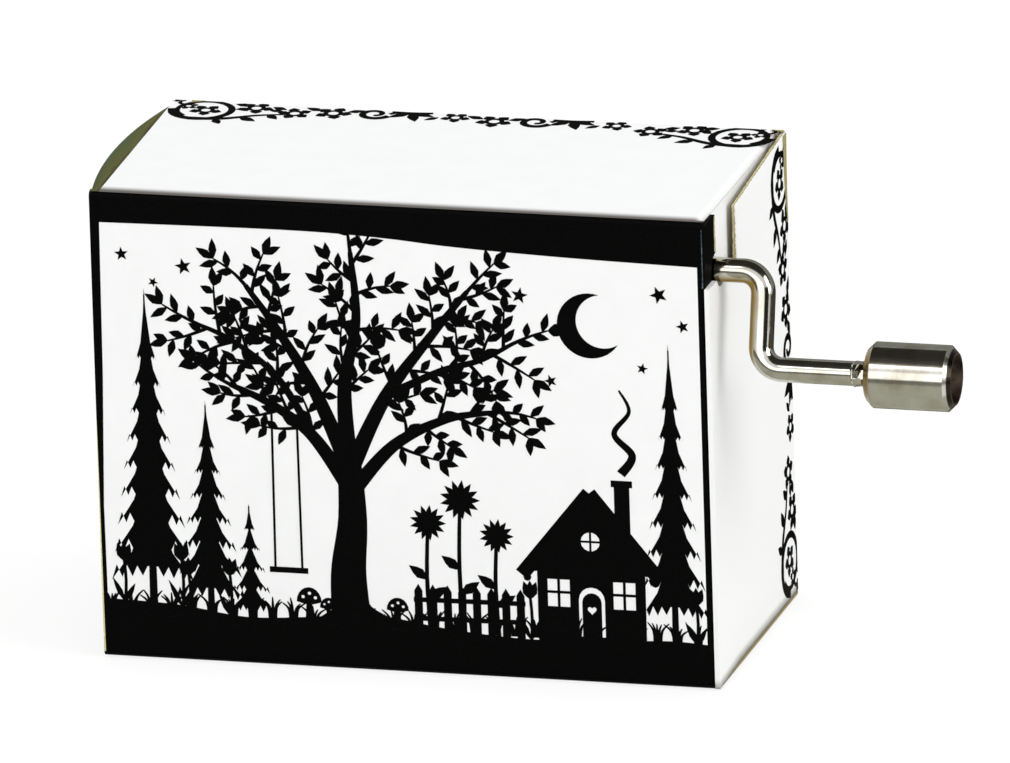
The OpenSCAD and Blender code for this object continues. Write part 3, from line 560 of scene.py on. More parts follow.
def crushed_pinch(name, length, radius, ear_reach, turn, knob_gap=0.2):
    bm = bmesh.new()
    bmesh.ops.create_cone(bm, cap_ends=True, segments=11, radius1=radius * MM, radius2=radius * MM,
                          depth=length * MM, matrix=Matrix.Rotation(math.pi / 2, 4, "Y"))
    along = [e for e in bm.edges if abs(e.verts[0].co.x - e.verts[1].co.x) > length * MM / 2]
    bmesh.ops.subdivide_edges(bm, edges=along, cuts=4)
    dents = random.Random(5)
    for vert in bm.verts:
        end = abs(vert.co.x) > length * MM * 0.45
        out = 0.9 if end else dents.uniform(0.96, 1.08)
        wide = 1.0 if end else ear_reach / radius
        vert.co = (vert.co.x + dents.uniform(-0.09, 0.09) * MM, vert.co.y * out * wide, vert.co.z * out)
    bmesh.ops.triangulate(bm, faces=bm.faces[:])
    bmesh.ops.recalc_face_normals(bm, faces=bm.faces[:])
    middle = Vector((knob_low.x - knob_gap - length / 2, knob_middle.y, knob_middle.z))
    bm.transform(Matrix.Translation(middle * MM) @ Matrix.Rotation(turn, 4, "X"))
    piece = finished(bm, name, PINCHED)
    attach(piece, "crank")
    print(name, len(piece.data.polygons), "facets")


crushed_pinch("crushed_pinch", length=1.5, radius=1.3, ear_reach=1.75, turn=math.radians(-15))

# %% [markdown]
# ## Cut shapes for the print
# The carton carries a print in one black, like a cut-paper picture. An image of it would blur from
# near, and shapes stay sharp at any size. They are drawn flat, in millimetres on the panel, from a few
# things: a ribbon along a smooth line, a straight bar, a leaf, a disc and a spiral. Each shape is a
# list of loops: first its outline and then its holes.

# %% Smooth lines, ribbons and bars
def smooth_line(points, steps=5):
    """A smooth curve that passes through every point: each piece is a cubic in t."""
    line = []
    for i in range(len(points) - 1):
        p0, p1, p2, p3 = (points[min(max(i + k, 0), len(points) - 1)] for k in (-1, 0, 1, 2))
        for s in range(steps):
            t = s / steps
            line.append(tuple(
                0.5 * (2 * b + (c - a) * t + (2 * a - 5 * b + 4 * c - d) * t * t
                       + (3 * b - a - 3 * c + d) * t ** 3)
                for a, b, c, d in zip(p0, p1, p2, p3)))
    return line + [tuple(points[-1])]


def ribbon(points, start_w, end_w, steps=5):
    """A strip along a smooth line, whose width runs from one value to another."""
    line = smooth_line(points, steps)
    left, right = [], []
    for i, (u, v) in enumerate(line):
        a, b = line[max(i - 1, 0)], line[min(i + 1, len(line) - 1)]
        du, dv = b[0] - a[0], b[1] - a[1]
        length = math.hypot(du, dv) or 1.0
        half = (start_w + (end_w - start_w) * i / (len(line) - 1)) / 2
        left.append((u - dv / length * half, v + du / length * half))
        right.append((u + dv / length * half, v - du / length * half))
    return [left + right[::-1]]


def bar(start, end, width):
    """A straight strip."""
    return ribbon([start, end], width, width, 1)


print("a bar has", len(bar((0, 0), (1, 0), 0.5)[0]), "corners")

# %% Leaves, discs, spirals and flowers
def turned(at, angle, points):
    """Points turned about their origin and moved to a place."""
    c, s = math.cos(angle), math.sin(angle)
    return [(at[0] + u * c - v * s, at[1] + u * s + v * c) for u, v in points]


def leaf(at, angle, length, width):
    """A leaf from its stalk, which is widest a little before its middle."""
    half = [(0.0, 0.04), (0.18, 0.55), (0.42, 1.0), (0.68, 0.72), (0.88, 0.28)]
    side = [(length * t, width / 2 * w) for t, w in half]
    return [turned(at, angle, side + [(length, 0.0)] + [(u, -v) for u, v in side[::-1]])]


def disc(at, radius, sides=18):
    """A circle of straight sides."""
    angles = [k * 2 * math.pi / sides for k in range(sides)]
    return [turned(at, 0, [(radius * math.cos(a), radius * math.sin(a)) for a in angles])]


def spiral(at, start_r, end_r, start_angle, turns, start_w, end_w):
    """A ribbon that winds in or out about a place."""
    steps = max(8, int(abs(turns) * 14))
    points = []
    for k in range(steps + 1):
        t = k / steps
        radius, angle = start_r + (end_r - start_r) * t, start_angle + turns * 2 * math.pi * t
        points.append((at[0] + radius * math.cos(angle), at[1] + radius * math.sin(angle)))
    return ribbon(points, start_w, end_w, 2)


def flower(at, radius, petals, angle=0.0):
    """Petals round a ring with an open eye."""
    shapes = []
    for k in range(petals):
        a = angle + k * 2 * math.pi / petals
        base = turned(at, a, [(radius * 0.36, 0)])[0]
        shapes.append(leaf(base, a, radius * 0.7, radius * 0.72))
    return shapes + [disc(at, radius * 0.56, 14) + disc(at, radius * 0.3, 12)]


print("a leaf has", len(leaf((0, 0), 0, 2, 1)[0]), "points")

# %% [markdown]
# ## Plants and things for the picture
# Every motif is a function of its foot or its middle, so the picture can be laid out by numbers.
# Random choices come from one seeded generator, so each run draws the same picture.

# %% Broad tree
chance = random.Random(11)
TWIG_LEAVES, LEAF_L = 5, 1.9


def twig(at, angle, length, leaves, leaf_l):
    """A bent shoot with leaves by turns on its two sides and one at its tip."""
    bend = chance.uniform(-0.5, 0.5)
    line = [at]
    for k in range(3):
        step = angle + bend * (k + 1) / 3
        line.append((line[-1][0] + math.cos(step) * length / 3, line[-1][1] + math.sin(step) * length / 3))
    shapes = [ribbon(line, 0.42, 0.16, 3)]
    along = smooth_line(line, 4)
    for k in range(leaves):
        base = along[min(len(along) - 1, int((k + 1.2) / (leaves + 0.4) * len(along)))]
        side = 1 if k % 2 else -1
        shapes.append(leaf(base, angle + bend * k / leaves + side * chance.uniform(0.6, 1.05),
                           leaf_l * chance.uniform(0.8, 1.15), leaf_l * 0.45))
    shapes.append(leaf(along[-1], angle + bend, leaf_l * 1.1, leaf_l * 0.48))
    return shapes


def limb(points, start_w, end_w, twigs, reach=4.2, bare=0.3):
    """A branch that is bare at first and then carries twigs on both sides."""
    shapes = [ribbon(points, start_w, end_w, 7)]
    line = smooth_line(points, 12)
    for k in range(twigs):
        i = int((bare + (1 - bare) * (k + 0.5) / twigs) * (len(line) - 2))
        heading = math.atan2(line[i + 1][1] - line[i][1], line[i + 1][0] - line[i][0])
        side = 1 if k % 2 else -1
        angle = heading + side * chance.uniform(0.55, 1.15)
        shapes += twig(line[i], angle, reach * chance.uniform(0.75, 1.2), TWIG_LEAVES, LEAF_L)
    end = math.atan2(line[-1][1] - line[-3][1], line[-1][0] - line[-3][0])
    return shapes + twig(line[-1], end, reach, TWIG_LEAVES, LEAF_L)


print("leaves on a twig:", TWIG_LEAVES + 1)

# %% Fir
def fir(foot, height, width, tiers):
    """A stem with tiers of drooping, toothed boughs."""
    x, z = foot
    shapes = [ribbon([foot, (x, z + height * 0.97)], width * 0.1, 0.14, 2)]
    for k in range(tiers):
        t = k / (tiers - 1)
        low = z + height * (0.12 + 0.66 * t)
        peak = low + height * (0.26 - 0.05 * t)
        half = width / 2 * (1 - 0.76 * t)
        droop, teeth = half * 0.3, 4
        side = [(half * 0.14, peak - (peak - low) * 0.35), (half * 0.5, low + (peak - low) * 0.2),
                (half, low - droop)]
        for j in range(1, teeth + 1):
            reach = half * (1 - j / teeth)
            side.append((reach + half * 0.13, low + droop * 0.25))
            if j < teeth:
                side.append((reach, low - droop * (0.45 + 0.4 * (1 - j / teeth))))
        loop = [(x, peak)] + [(x + u, v) for u, v in side] + [(x - u, v) for u, v in side[::-1]]
        shapes.append([loop])
    return shapes


print("one fir has", len(fir((0, 0), 20, 8, 6)), "shapes")

# %% Grass, flowers and toadstools
def grass(foot, blades, height):
    shapes = []
    for k in range(blades):
        lean = (k / max(blades - 1, 1) - 0.5) * 1.8 + chance.uniform(-0.2, 0.2)
        tall = height * chance.uniform(0.6, 1.0)
        blade = [(foot[0] + lean * 0.3, foot[1] - 0.4), (foot[0] + lean * 0.55, foot[1] + tall * 0.55),
                 (foot[0] + lean * 1.35, foot[1] + tall)]
        shapes.append(ribbon(blade, 0.42, 0.1, 3))
    return shapes


def tulip(foot, height):
    x, z = foot
    head = (x, z + height)
    shapes = [ribbon([(x, z - 0.5), (x + 0.15, z + height * 0.5), head], 0.34, 0.3, 3)]
    for lean in (-0.34, 0.0, 0.34):
        shapes.append(leaf((x, z + height - 0.3), math.pi / 2 + lean, 2.0, 0.95))
    shapes.append(leaf((x, z), math.pi / 2 + 0.45, height * 0.62, 0.6))
    shapes.append(leaf((x, z), math.pi / 2 - 0.5, height * 0.5, 0.6))
    return shapes


def sunflower(foot, height, radius):
    x, z = foot
    head, petals = (x, z + height), 13
    shapes = [ribbon([(x, z - 0.5), (x - 0.25, z + height * 0.5), head], 0.5, 0.36, 4)]
    for k in range(petals):
        shapes.append(leaf(head, k * 2 * math.pi / petals, radius, radius * 0.36))
    shapes.append(disc(head, radius * 0.56, 16) + disc(head, radius * 0.4, 14))
    shapes.append(disc(head, radius * 0.28, 12))
    for side, up in ((1, 0.3), (-1, 0.48)):
        shapes.append(leaf((x - 0.15, z + height * up), math.pi / 2 - side * 0.95, 2.4, 1.1))
    return shapes


def toadstool(foot, height, width):
    x, z = foot
    brim, half = height * 0.52, width / 2
    arc = [math.pi * (1 - k / 10) for k in range(1, 10)]
    cap = [(-half, brim)] + [(half * math.cos(a), brim + height * 0.48 * math.sin(a)) for a in arc]
    cap += [(half, brim), (width * 0.16, height * 0.44), (-width * 0.16, height * 0.44)]
    outline = [turned(foot, 0, cap)]
    for u, v in ((-0.24, 0.68), (0.02, 0.8), (0.25, 0.66)):
        outline += disc((x + u * width, z + v * height), width * 0.07, 8)
    return [outline, ribbon([(x, z - 0.4), (x, z + height * 0.5)], width * 0.34, width * 0.22, 2)]


print("one sunflower has", len(sunflower((0, 0), 12, 2)), "shapes")

# %% [markdown]
# ## Cottage, fence, moon and stars
# These are straight cuts. Windows and the door are holes in the wall, and the bars of a window lie
# over its hole.

# %% Loops and windows for the cottage
def box_loop(u0, v0, u1, v1):
    return [(u0, v0), (u1, v0), (u1, v1), (u0, v1)]


def arch_loop(u, v, width, height):
    half = width / 2
    arc = [math.pi * k / 8 for k in range(9)]
    top = v + height - half
    return [(u - half, v), (u + half, v)] + [(u + half * math.cos(a), top + half * math.sin(a)) for a in arc]


def heart(at, size):
    points = []
    for k in range(20):
        t = 2 * math.pi * k / 20
        tall = 13 * math.cos(t) - 5 * math.cos(2 * t) - 2 * math.cos(3 * t) - math.cos(4 * t)
        points.append((at[0] + 16 * math.sin(t) ** 3 / 32 * size, at[1] + tall / 32 * size))
    return points


def window(u, v, width, height):
    rail = v + height * 0.55
    bars = [bar((u, v), (u, v + height), 0.28), bar((u - width / 2, rail), (u + width / 2, rail), 0.28)]
    return box_loop(u - width / 2, v, u + width / 2, v + height), bars


print("a heart has", len(heart((0, 0), 1)), "points")

# %% Cottage
def cottage(u, v):
    left_pane, left_bars = window(u - 3.4, v + 3.0, 2.3, 3.0)
    right_pane, right_bars = window(u + 3.4, v + 3.0, 2.3, 3.0)
    ridge, eaves_u, eaves_v = v + 15.2, 7.2, 8.9
    wall = [(u - 5.6, v - 0.6), (u + 5.6, v - 0.6), (u + 5.6, v + 7.4), (u, v + 14.2), (u - 5.6, v + 7.4)]
    shapes = [[wall, left_pane, right_pane, arch_loop(u, v + 0.1, 2.7, 5.2), disc((u, v + 10.1), 1.0, 14)[0]]]
    shapes.append([arch_loop(u, v - 0.1, 2.0, 4.8), heart((u, v + 2.9), 0.95)])
    shapes += left_bars + right_bars
    shapes.append(bar((u, v + 9.1), (u, v + 11.1), 0.22))
    shapes.append(bar((u - 1, v + 10.1), (u + 1, v + 10.1), 0.22))
    for side in (-1, 1):
        shapes.append(bar((u, ridge), (u + side * eaves_u, v + 6.3), 1.5))
        for t in (0.2 + k * 0.12 for k in range(7)):
            shapes.append(disc((u + side * eaves_u * t, ridge - eaves_v * t - 0.95), 0.42, 8))
        shapes.append(bar((u + side * 2.0, v + 2.9), (u + side * 4.8, v + 2.9), 0.45))
    shapes.append([box_loop(u + 2.6, v + 10.5, u + 4.2, v + 16.2)])
    shapes.append([box_loop(u + 2.3, v + 16.0, u + 4.5, v + 16.7)])
    smoke = [(u + 3.4, v + 17.4), (u + 4.6, v + 19.4), (u + 2.8, v + 21.6), (u + 4.4, v + 24.0),
             (u + 3.4, v + 26.2)]
    return shapes + [ribbon(smoke, 1.0, 0.2, 8)]


print("the cottage has", len(cottage(0, 0)), "shapes")

# %% Fence, swing, moon and stars
def fence(u0, u1, v, height, spacing):
    shapes = [bar((u0 - 0.5, v + height * f), (u1 + 0.5, v + height * f + 0.15), 0.5) for f in (0.3, 0.68)]
    count, half = int((u1 - u0) / spacing), 0.42
    for k in range(count + 1):
        u = u0 + k * (u1 - u0) / count
        foot, shoulder = v - 0.6, v + height - 0.7
        shapes.append([[(u - half, foot), (u + half, foot), (u + half, shoulder), (u, v + height),
                        (u - half, shoulder)]])
    return shapes


def swing(u, top, seat, gap):
    ropes = [bar((u + side * gap / 2, top), (u + side * (gap / 2 + 0.1), seat), 0.24) for side in (-1, 1)]
    return ropes + [bar((u - gap / 2 - 0.7, seat), (u + gap / 2 + 0.7, seat), 0.6)]


def crescent(at, radius):
    """An arc of one circle and, back along a second one, the arc between the two points they share."""
    shift, inner_r = radius * 0.42, radius * 0.82
    meet_u = (radius ** 2 - inner_r ** 2 + shift ** 2) / (2 * shift)
    outer_a, inner_a = math.acos(meet_u / radius), math.acos((meet_u - shift) / inner_r)
    outer = [outer_a + (2 * math.pi - 2 * outer_a) * k / 28 for k in range(29)]
    inner = [2 * math.pi - inner_a - (2 * math.pi - 2 * inner_a) * k / 24 for k in range(1, 24)]
    return [turned(at, 0.35, [(radius * math.cos(a), radius * math.sin(a)) for a in outer]
                   + [(shift + inner_r * math.cos(a), inner_r * math.sin(a)) for a in inner])]


def star(at, radius, angle=0.0):
    points = []
    for k in range(10):
        reach, a = radius if k % 2 == 0 else radius * 0.42, math.pi / 2 + k * math.pi / 5
        points.append((reach * math.cos(a), reach * math.sin(a)))
    return [turned(at, angle, points)]


print("the fence has", len(fence(0, 10, 0, 5, 1.5)), "shapes")

# %% [markdown]
# ## From flat shapes to ink
# The shapes overlap, as leaves do, and two films in one plane would flicker. So all outlines go at
# once into a constrained triangulation, which cuts them where they cross. A triangle stays if some
# outline winds round its middle and none of that shape's holes does, and if it lies on the panel.
# Solidify gives the sheet a thickness. Real ink is a few thousandths of a millimetre thick. The
# film here is 0.02 mm, so that it never lies in the face of the board. A matrix then lays the flat
# drawing on its panel.

# %% Join the shapes
def winds(loop, at):
    """For each place, whether the loop winds round it."""
    a = np.array(loop)
    b = np.roll(a, -1, axis=0)
    u, v = at[:, :1], at[:, 1:]
    side = (b[:, 0] - a[:, 0]) * (v - a[:, 1]) - (u - a[:, 0]) * (b[:, 1] - a[:, 1])
    rising = (a[:, 1] <= v) & (b[:, 1] > v) & (side > 0)
    falling = (a[:, 1] > v) & (b[:, 1] <= v) & (side < 0)
    return rising.sum(axis=1) != falling.sum(axis=1)


def joined(shapes, limits):
    """Corners and triangles of the shapes' union within the panel's limits."""
    corners, edges = [], []
    for loop in [box_loop(*limits)] + [loop for shape in shapes for loop in shape]:
        first = len(corners)
        corners += [Vector(corner) for corner in loop]
        edges += [(first + k, first + (k + 1) % len(loop)) for k in range(len(loop))]
    points, _, triangles, _, _, _ = delaunay_2d_cdt(corners, edges, [], 0, 1e-5)
    middles = np.array([[sum(points[k][axis] for k in t) / 3 for axis in (0, 1)] for t in triangles])
    inked = np.zeros(len(triangles), dtype=bool)
    for shape in shapes:
        outline = np.array(shape[0])
        boxed = (middles >= outline.min(axis=0)) & (middles <= outline.max(axis=0))
        near = np.flatnonzero(boxed.all(axis=1))
        inside = winds(shape[0], middles[near])
        for hole in shape[1:]:
            inside &= ~winds(hole, middles[near])
        inked[near[inside]] = True
    inked &= ((middles > limits[:2]) & (middles < limits[2:])).all(axis=1)
    return points, [t for t, keep in zip(triangles, inked) if keep]


print("a square of ink has", len(joined([[box_loop(0, 0, 1, 1)]], (-1, -1, 2, 2))[1]), "triangles")

# %% Thicken and place a print
FILM, LIFT = 0.02, 0.006  # mm


def print_on(name, shapes, place, limits, material=INK):
    points, triangles = joined(shapes, limits)
    bm = bmesh.new()
    verts = [bm.verts.new((u * MM, v * MM, 0.0)) for u, v in points]
    for triangle in triangles:
        bm.faces.new([verts[k] for k in triangle])
    bmesh.ops.delete(bm, geom=[v for v in bm.verts if not v.link_faces], context="VERTS")
    bmesh.ops.reverse_faces(bm, faces=[f for f in bm.faces if f.normal.z < 0])
    bmesh.ops.solidify(bm, geom=bm.faces[:], thickness=-FILM * MM)
    bmesh.ops.recalc_face_normals(bm, faces=bm.faces[:])
    bm.transform(place)
    piece = finished(bm, name, material)
    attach(piece, "carton")
    print(name, len(shapes), "shapes", len(triangles), "flat faces", len(piece.data.polygons), "faces")


def panel_matrix(origin_mm, u_axis, v_axis):
    """Lays a drawing's u and v along two directions, lifted just off the panel."""
    u, v = Vector(u_axis), Vector(v_axis)
    out = u.cross(v)
    matrix = Matrix((u, v, out)).transposed().to_4x4()
    matrix.translation = Vector(origin_mm) * MM + out * LIFT * MM
    return matrix


X, Y, Z = (1, 0, 0), (0, 1, 0), (0, 0, 1)
front_place = panel_matrix((0, front_y, 0), X, Z)
top_place = panel_matrix((0, 0, top_z), X, Y)
side_place = panel_matrix((right_x, 0, 0), Y, Z)
back_place = panel_matrix((0, back_y, 0), (-1, 0, 0), Z)
print("film thickness in mm:", FILM)

# %% [markdown]
# ## The front picture
# The front has a broad black band at the top that grows towards the right, a narrow one at the left
# and the ground at the foot. Between them stands a garden scene of this part's own: a leafy tree
# with a swing, firs, a cottage with its fence and flowers, a moon and stars.

# %% Bands and ground
edge_l, edge_r = left_x + 0.02, flap_low.x + 0.02
low, high = crease - 0.1, top_z - crease + 0.1
TOP_BAND = ((edge_r, 44.3), (18, 44.6), (6, 45.1), (-2, 45.7), (-12, 46.0), (edge_l, 45.8))
LEFT_BAND = ((edge_l, 46.5), (-31.0, 46.5), (-31.15, 30), (-31.5, 16), (-31.4, 4), (edge_l, 4))
HILLS = ((edge_r, 4.7), (27, 4.9), (20, 4.5), (12, 4.3), (4, 4.9), (-4, 6.0), (-10, 5.4), (-17, 5.0),
         (-24, 5.9), (edge_l, 6.2))
front = [[[(edge_l, high), (edge_r, high)] + smooth_line(TOP_BAND)],
         [LEFT_BAND],
         [[(edge_l, low), (edge_r, low)] + smooth_line(HILLS)]]
print("bands and ground:", len(front), "shapes")

# %% Trees
FIRS = (((-26.6, 5.4), 34, 8.6, 9), ((-20.6, 4.8), 23, 7.4, 7), ((-16.4, 4.6), 12.5, 4.8, 5),
        ((27.6, 4.4), 32, 7.2, 8))
TRUNK = ((-5.9, 3.5), (-6.2, 10), (-5.6, 16), (-5.8, 23))
ROOTS = (((-6, 8), (-7.4, 6.2), (-9.6, 5.0)), ((-5.4, 8), (-4.2, 6.4), (-1.6, 5.3)))
LIMBS = (
    (((-6.0, 19.5), (-9.5, 24.5), (-13.5, 27.5), (-18.0, 29.5)), 1.7, 0.5, 7),
    (((-5.9, 21.5), (-9.0, 29.0), (-12.5, 35.0), (-16.0, 40.0)), 1.8, 0.5, 9),
    (((-5.8, 22.0), (-6.0, 30.0), (-4.6, 37.0), (-5.0, 44.0)), 1.9, 0.5, 9),
    (((-5.5, 21.5), (-1.8, 29.0), (3.0, 35.5), (7.0, 40.5)), 1.8, 0.5, 9),
    (((-5.4, 19.0), (-1.0, 24.0), (4.5, 27.0), (9.6, 28.0)), 1.6, 0.45, 7),
    (((-9.4, 24.6), (-13.0, 30.5), (-17.4, 34.0), (-21.0, 35.6)), 0.9, 0.4, 6),
    (((-1.6, 29.2), (4.0, 32.0), (8.2, 33.4), (11.4, 35.2)), 0.9, 0.4, 6),
)
for spec in FIRS:
    front += fir(*spec)
front.append(ribbon(TRUNK, 4.4, 2.3, 6))
front += [ribbon(root, 1.6, 0.4, 4) for root in ROOTS]
for spec in LIMBS:
    front += limb(*spec)
print("with trees:", len(front), "shapes")

# %% Cottage garden, grass, moon and stars
SUNFLOWERS = (((2.2, 4.5), 11.5, 1.9), ((5.6, 4.4), 14.2, 2.1), ((9.3, 4.2), 10.8, 1.8))
TULIPS = (((-29.6, 5.9), 4.6), ((-23.6, 5.6), 5.2), ((-22.9, 5.5), 3.8), ((-18.6, 4.9), 4.6),
          ((29.8, 4.6), 4.4), ((12.6, 4.2), 4.6))
TOADSTOOLS = (((-10.4, 5.3), 3.2, 2.6), ((-8.4, 5.3), 2.2, 1.8), ((-1.2, 5.2), 2.7, 2.3))
STARS = (((12.4, 40.4), 0.9), ((15.4, 31.6), 0.7), ((26.8, 41.2), 0.95), ((24.9, 33.4), 0.6),
         ((29.2, 38.0), 0.7), ((-22.4, 41.6), 0.9), ((-28.8, 42.6), 0.75), ((-25.6, 39.8), 0.55))
TUFTS, TUFT_PITCH = 30, 2.1
front += swing(-12.4, 26.7, 10.2, 2.6) + cottage(19.0, 4.8) + fence(1.0, 11.6, 4.3, 5.2, 1.5)
for plant, specs in ((sunflower, SUNFLOWERS), (tulip, TULIPS), (toadstool, TOADSTOOLS)):
    for spec in specs:
        front += plant(*spec)
for k in range(TUFTS):
    u = -31 + k * TUFT_PITCH
    front += grass((u, 4.9 if u > -12 else 5.4), 5, 1.9)
front.append(crescent((19.6, 37.6), 3.4))
front += [star(at, radius, at[0]) for at, radius in STARS]
print_on("front_print", front, front_place, (edge_l, low, edge_r, high))

# %% [markdown]
# ## The scroll borders
# A loose border of scrolls, leaves and small flowers runs along the back edge of the top and down
# the back edge of the right end, with a large scroll at each corner. It is drawn once, along a length
# and a depth, and laid on both panels, and on the back too, where it meets the top's at the fold.
# What reaches past the edge is cut off, as trimming does to a print.

# %% A corner of the border
CORNER_LEAVES = ((5.6, 6.2, 1.0, 1.8), (8.0, 5.2, 0.5, 2.2), (10.6, 3.9, 0.8, 1.9), (6.5, 0.9, 0.2, 1.9),
                 (6.9, 2.7, -0.5, 1.5), (10.5, 1.3, 0.4, 1.8), (10.4, 2.4, 0.1, 1.6))
CORNER_FLOWERS = ((4.0, 3.4, 1.65), (1.9, 2.3, 1.0), (8.9, 1.9, 1.75), (13.2, 3.0, 1.7))


def border_corner(length, mirror):
    """A large scroll with its tendril, at the start of a border or mirrored at its end."""
    def put(s, d):
        return (length - s, d) if mirror else (s, d)
    hand = -1 if mirror else 1
    start = 0.0 if mirror else math.pi
    shapes = [spiral(put(3.7, 3.3), 3.2, 2.6, start, -hand * 1.15, 0.95, 0.5),
              spiral(put(1.3, 1.0), 1.2, 0.5, start, hand * 1.2, 0.6, 0.35),
              ribbon([put(*p) for p in ((3.0, 6.3), (6.4, 5.9), (9.6, 4.3), (12.8, 3.4))], 1.0, 0.3, 6)]
    for s, d, radius in CORNER_FLOWERS:
        shapes += flower(put(s, d), radius, 5, s)
    for s, d, angle, size in CORNER_LEAVES:
        shapes.append(leaf(put(s, d), math.pi - angle if mirror else angle, size, size * 0.55))
    return shapes


print("a corner has", len(border_corner(60, False)), "shapes")

# %% The whole border
SPRAY = ((0.35, 2.8), (1.2, 3.0), (2.4, 2.8))
CORNERS_L, PITCH = 32, 4.2  # mm for both corners, and from one motif to the next


def scroll_border(length):
    """Scrolled corners, and between them flowers, curls and sprays by turns, each with room round it."""
    shapes = border_corner(length, False) + border_corner(length, True)
    count = int((length - CORNERS_L) / PITCH)
    for k in range(count + 1):
        s = length / 2 + (k - count / 2) * PITCH
        if k % 4 == 0:
            shapes += flower((s, 2.3), 1.85, 5, k * 0.7)
            shapes += [leaf((s + 1.3, 1.7), -0.4, 2.0, 1.05), leaf((s - 1.3, 1.7), math.pi + 0.4, 2.0, 1.05)]
        elif k % 4 == 1:
            shapes.append(spiral((s, 1.8), 1.65, 0.45, math.pi * 0.1, 1.2, 0.85, 0.5))
            shapes.append(ribbon([(s + 1.5, 1.6), (s + 2.3, 1.0), (s + 3.4, 1.1)], 0.6, 0.35, 4))
        elif k % 4 == 2:
            shapes += [leaf((s - 0.6, 0.9), angle, size, size * 0.42) for angle, size in SPRAY]
            shapes.append(ribbon([(s - 2.6, 0.8), (s - 0.6, 0.9), (s + 1.6, 0.7)], 0.35, 0.6, 4))
        else:
            shapes += flower((s, 1.7), 1.5, 5, k * 0.9)
            shapes.append(leaf((s - 1.7, 1.9), 2.4, 1.7, 0.85))
    return shapes


print("a border of 60 mm has", len(scroll_border(60)), "shapes")

# %% Lay it on three panels
TRIM = 0.4  # mm of the border that are cut off
back_edge = back_y - crease
top_limits = (left_x + 0.3, front_y + crease, sleeve_high.x + 0.3, back_edge + 0.2)
back_limits = (crease - right_x, crease, -left_x - 0.4, top_z - crease)
side_limits = (front_y + crease, 0.6, back_edge + 0.1, top_z - 0.6)


def laid(length, along):
    """The border with its length and depth turned to a panel's own directions."""
    return [[[along(s, d) for s, d in loop] for loop in shape] for shape in scroll_border(length)]


for name, place, limits in (("top_border", top_place, top_limits), ("back_border", back_place, back_limits)):
    border = laid(limits[2] - limits[0], lambda s, d: (limits[0] + s, limits[3] + TRIM - d))
    print_on(name, border, place, limits)
side_border = laid(side_limits[3] - side_limits[1],
                   lambda s, d: (side_limits[2] + TRIM - d, side_limits[3] - s))
print_on("side_border", side_border, side_place, side_limits)

# %% [markdown]
# ## Wear on edges and corners, with a painted highlight and a painted shade
# A thin pale bluish line of painted highlight runs down the crease where the black front turns into
# its flap, beside the crank. Edges are rubbed to the pulp: the flap's free edge, the front's left edge
# near the foot, the right panel's back crease near the top, and the two back corners of the top. All
# are prints as narrow as a thread, and so is the grey line of painted shade on the fold of the
# top's right end. Those that lie over other ink are lifted a second film higher. The olive end also
# reaches over the corner beside the front, as a last small patch.

# %% Painted crease highlight and rubbed edges
OVER = FILM + LIFT  # mm for a film that lies on another one
flap_top = top_z - crease
half_turn = crease * math.sqrt(0.5)
crease_place = panel_matrix((flap_high.x - crease + half_turn, front_y + crease - half_turn, 0),
                            (math.sqrt(0.5), math.sqrt(0.5), 0), Z)
# Painted highlight: a pale bluish line along the crease's apex.
crease_highlight_line = ribbon([(0.0, 42.1), (0.02, 44.0), (0.0, flap_top - 0.1)], 0.17, 0.08)
print_on("painted_crease_highlight", [crease_highlight_line], crease_place, (-0.2, 41, 0.2, flap_top), CREASE_HIGHLIGHT)

flap_place = panel_matrix((flap_high.x, 0, 0), Y, Z)
flap_rub = ribbon([(flap_high.y - in_from_edge, z) for in_from_edge, z in
                   ((0.28, 44.6), (0.2, 45.6), (0.3, 46.8), (0.2, flap_top - 0.1))], 0.55, 0.35)
print_on("rubbed_flap_edge", [flap_rub], flap_place, (flap_low.y, 41, flap_high.y, flap_top), RAW)

over_front = panel_matrix((0, front_y - OVER, 0), X, Z)
left_rub = ribbon([(left_x, 25.0), (left_x + 0.01, low)], 0.08, 0.38, 8)
print_on("rubbed_left_edge", [left_rub], over_front, (left_x + 0.01, low, left_x + 1, 26), PALE_PULP)

over_side = panel_matrix((right_x + OVER, 0, 0), Y, Z)
back_rub = ribbon([(back_edge - in_from_edge, z) for in_from_edge, z in
                   ((0.5, panel_high.z), (0.5, 45.0), (0.35, 42.0), (0.05, 39.5))], 1.4, 0.3)
print_on("rubbed_back_crease", [back_rub], over_side,
         (back_edge - 2, 38, back_edge + 0.2, panel_high.z - 0.1), PULP)

# %% Painted fold shade, rubbed corners and olive corner
fold_x, rear = sleeve_high.x + 0.05, top_limits[3]
# Painted shade: a faint grey line along the fold of the top's right end.
fold_shade_line = ribbon([(fold_x, front_y + 1.2), (fold_x, rear - 6.5)], 0.05, 0.09, 3)
print_on("painted_fold_shade", [fold_shade_line], top_place, top_limits, FOLD_SHADE)

over_top = panel_matrix((0, 0, top_z + OVER), X, Y)
left_corner = [(left_x + 2.0, rear), (left_x + 3.4, rear), (left_x + 2.2, rear - 0.7)]
right_corner = [(top_limits[2] - 1.4, rear), (top_limits[2], rear), (top_limits[2], rear - 0.6)]
print_on("rubbed_top_corners", [[left_corner], [right_corner]], over_top, top_limits, PULP)

lean = math.radians(14)
on_bend = (0, front_y + crease - crease * math.sin(lean), top_z - crease + crease * math.cos(lean))
corner_place = panel_matrix(on_bend, X, (0, math.cos(lean), math.sin(lean)))
olive_corner = [box_loop(left_x + 0.03, -0.18, left_x + 1.0, 0.2)]
print_on("olive_corner", [olive_corner], corner_place, (left_x, -0.3, 0, 0.3), OLIVE)

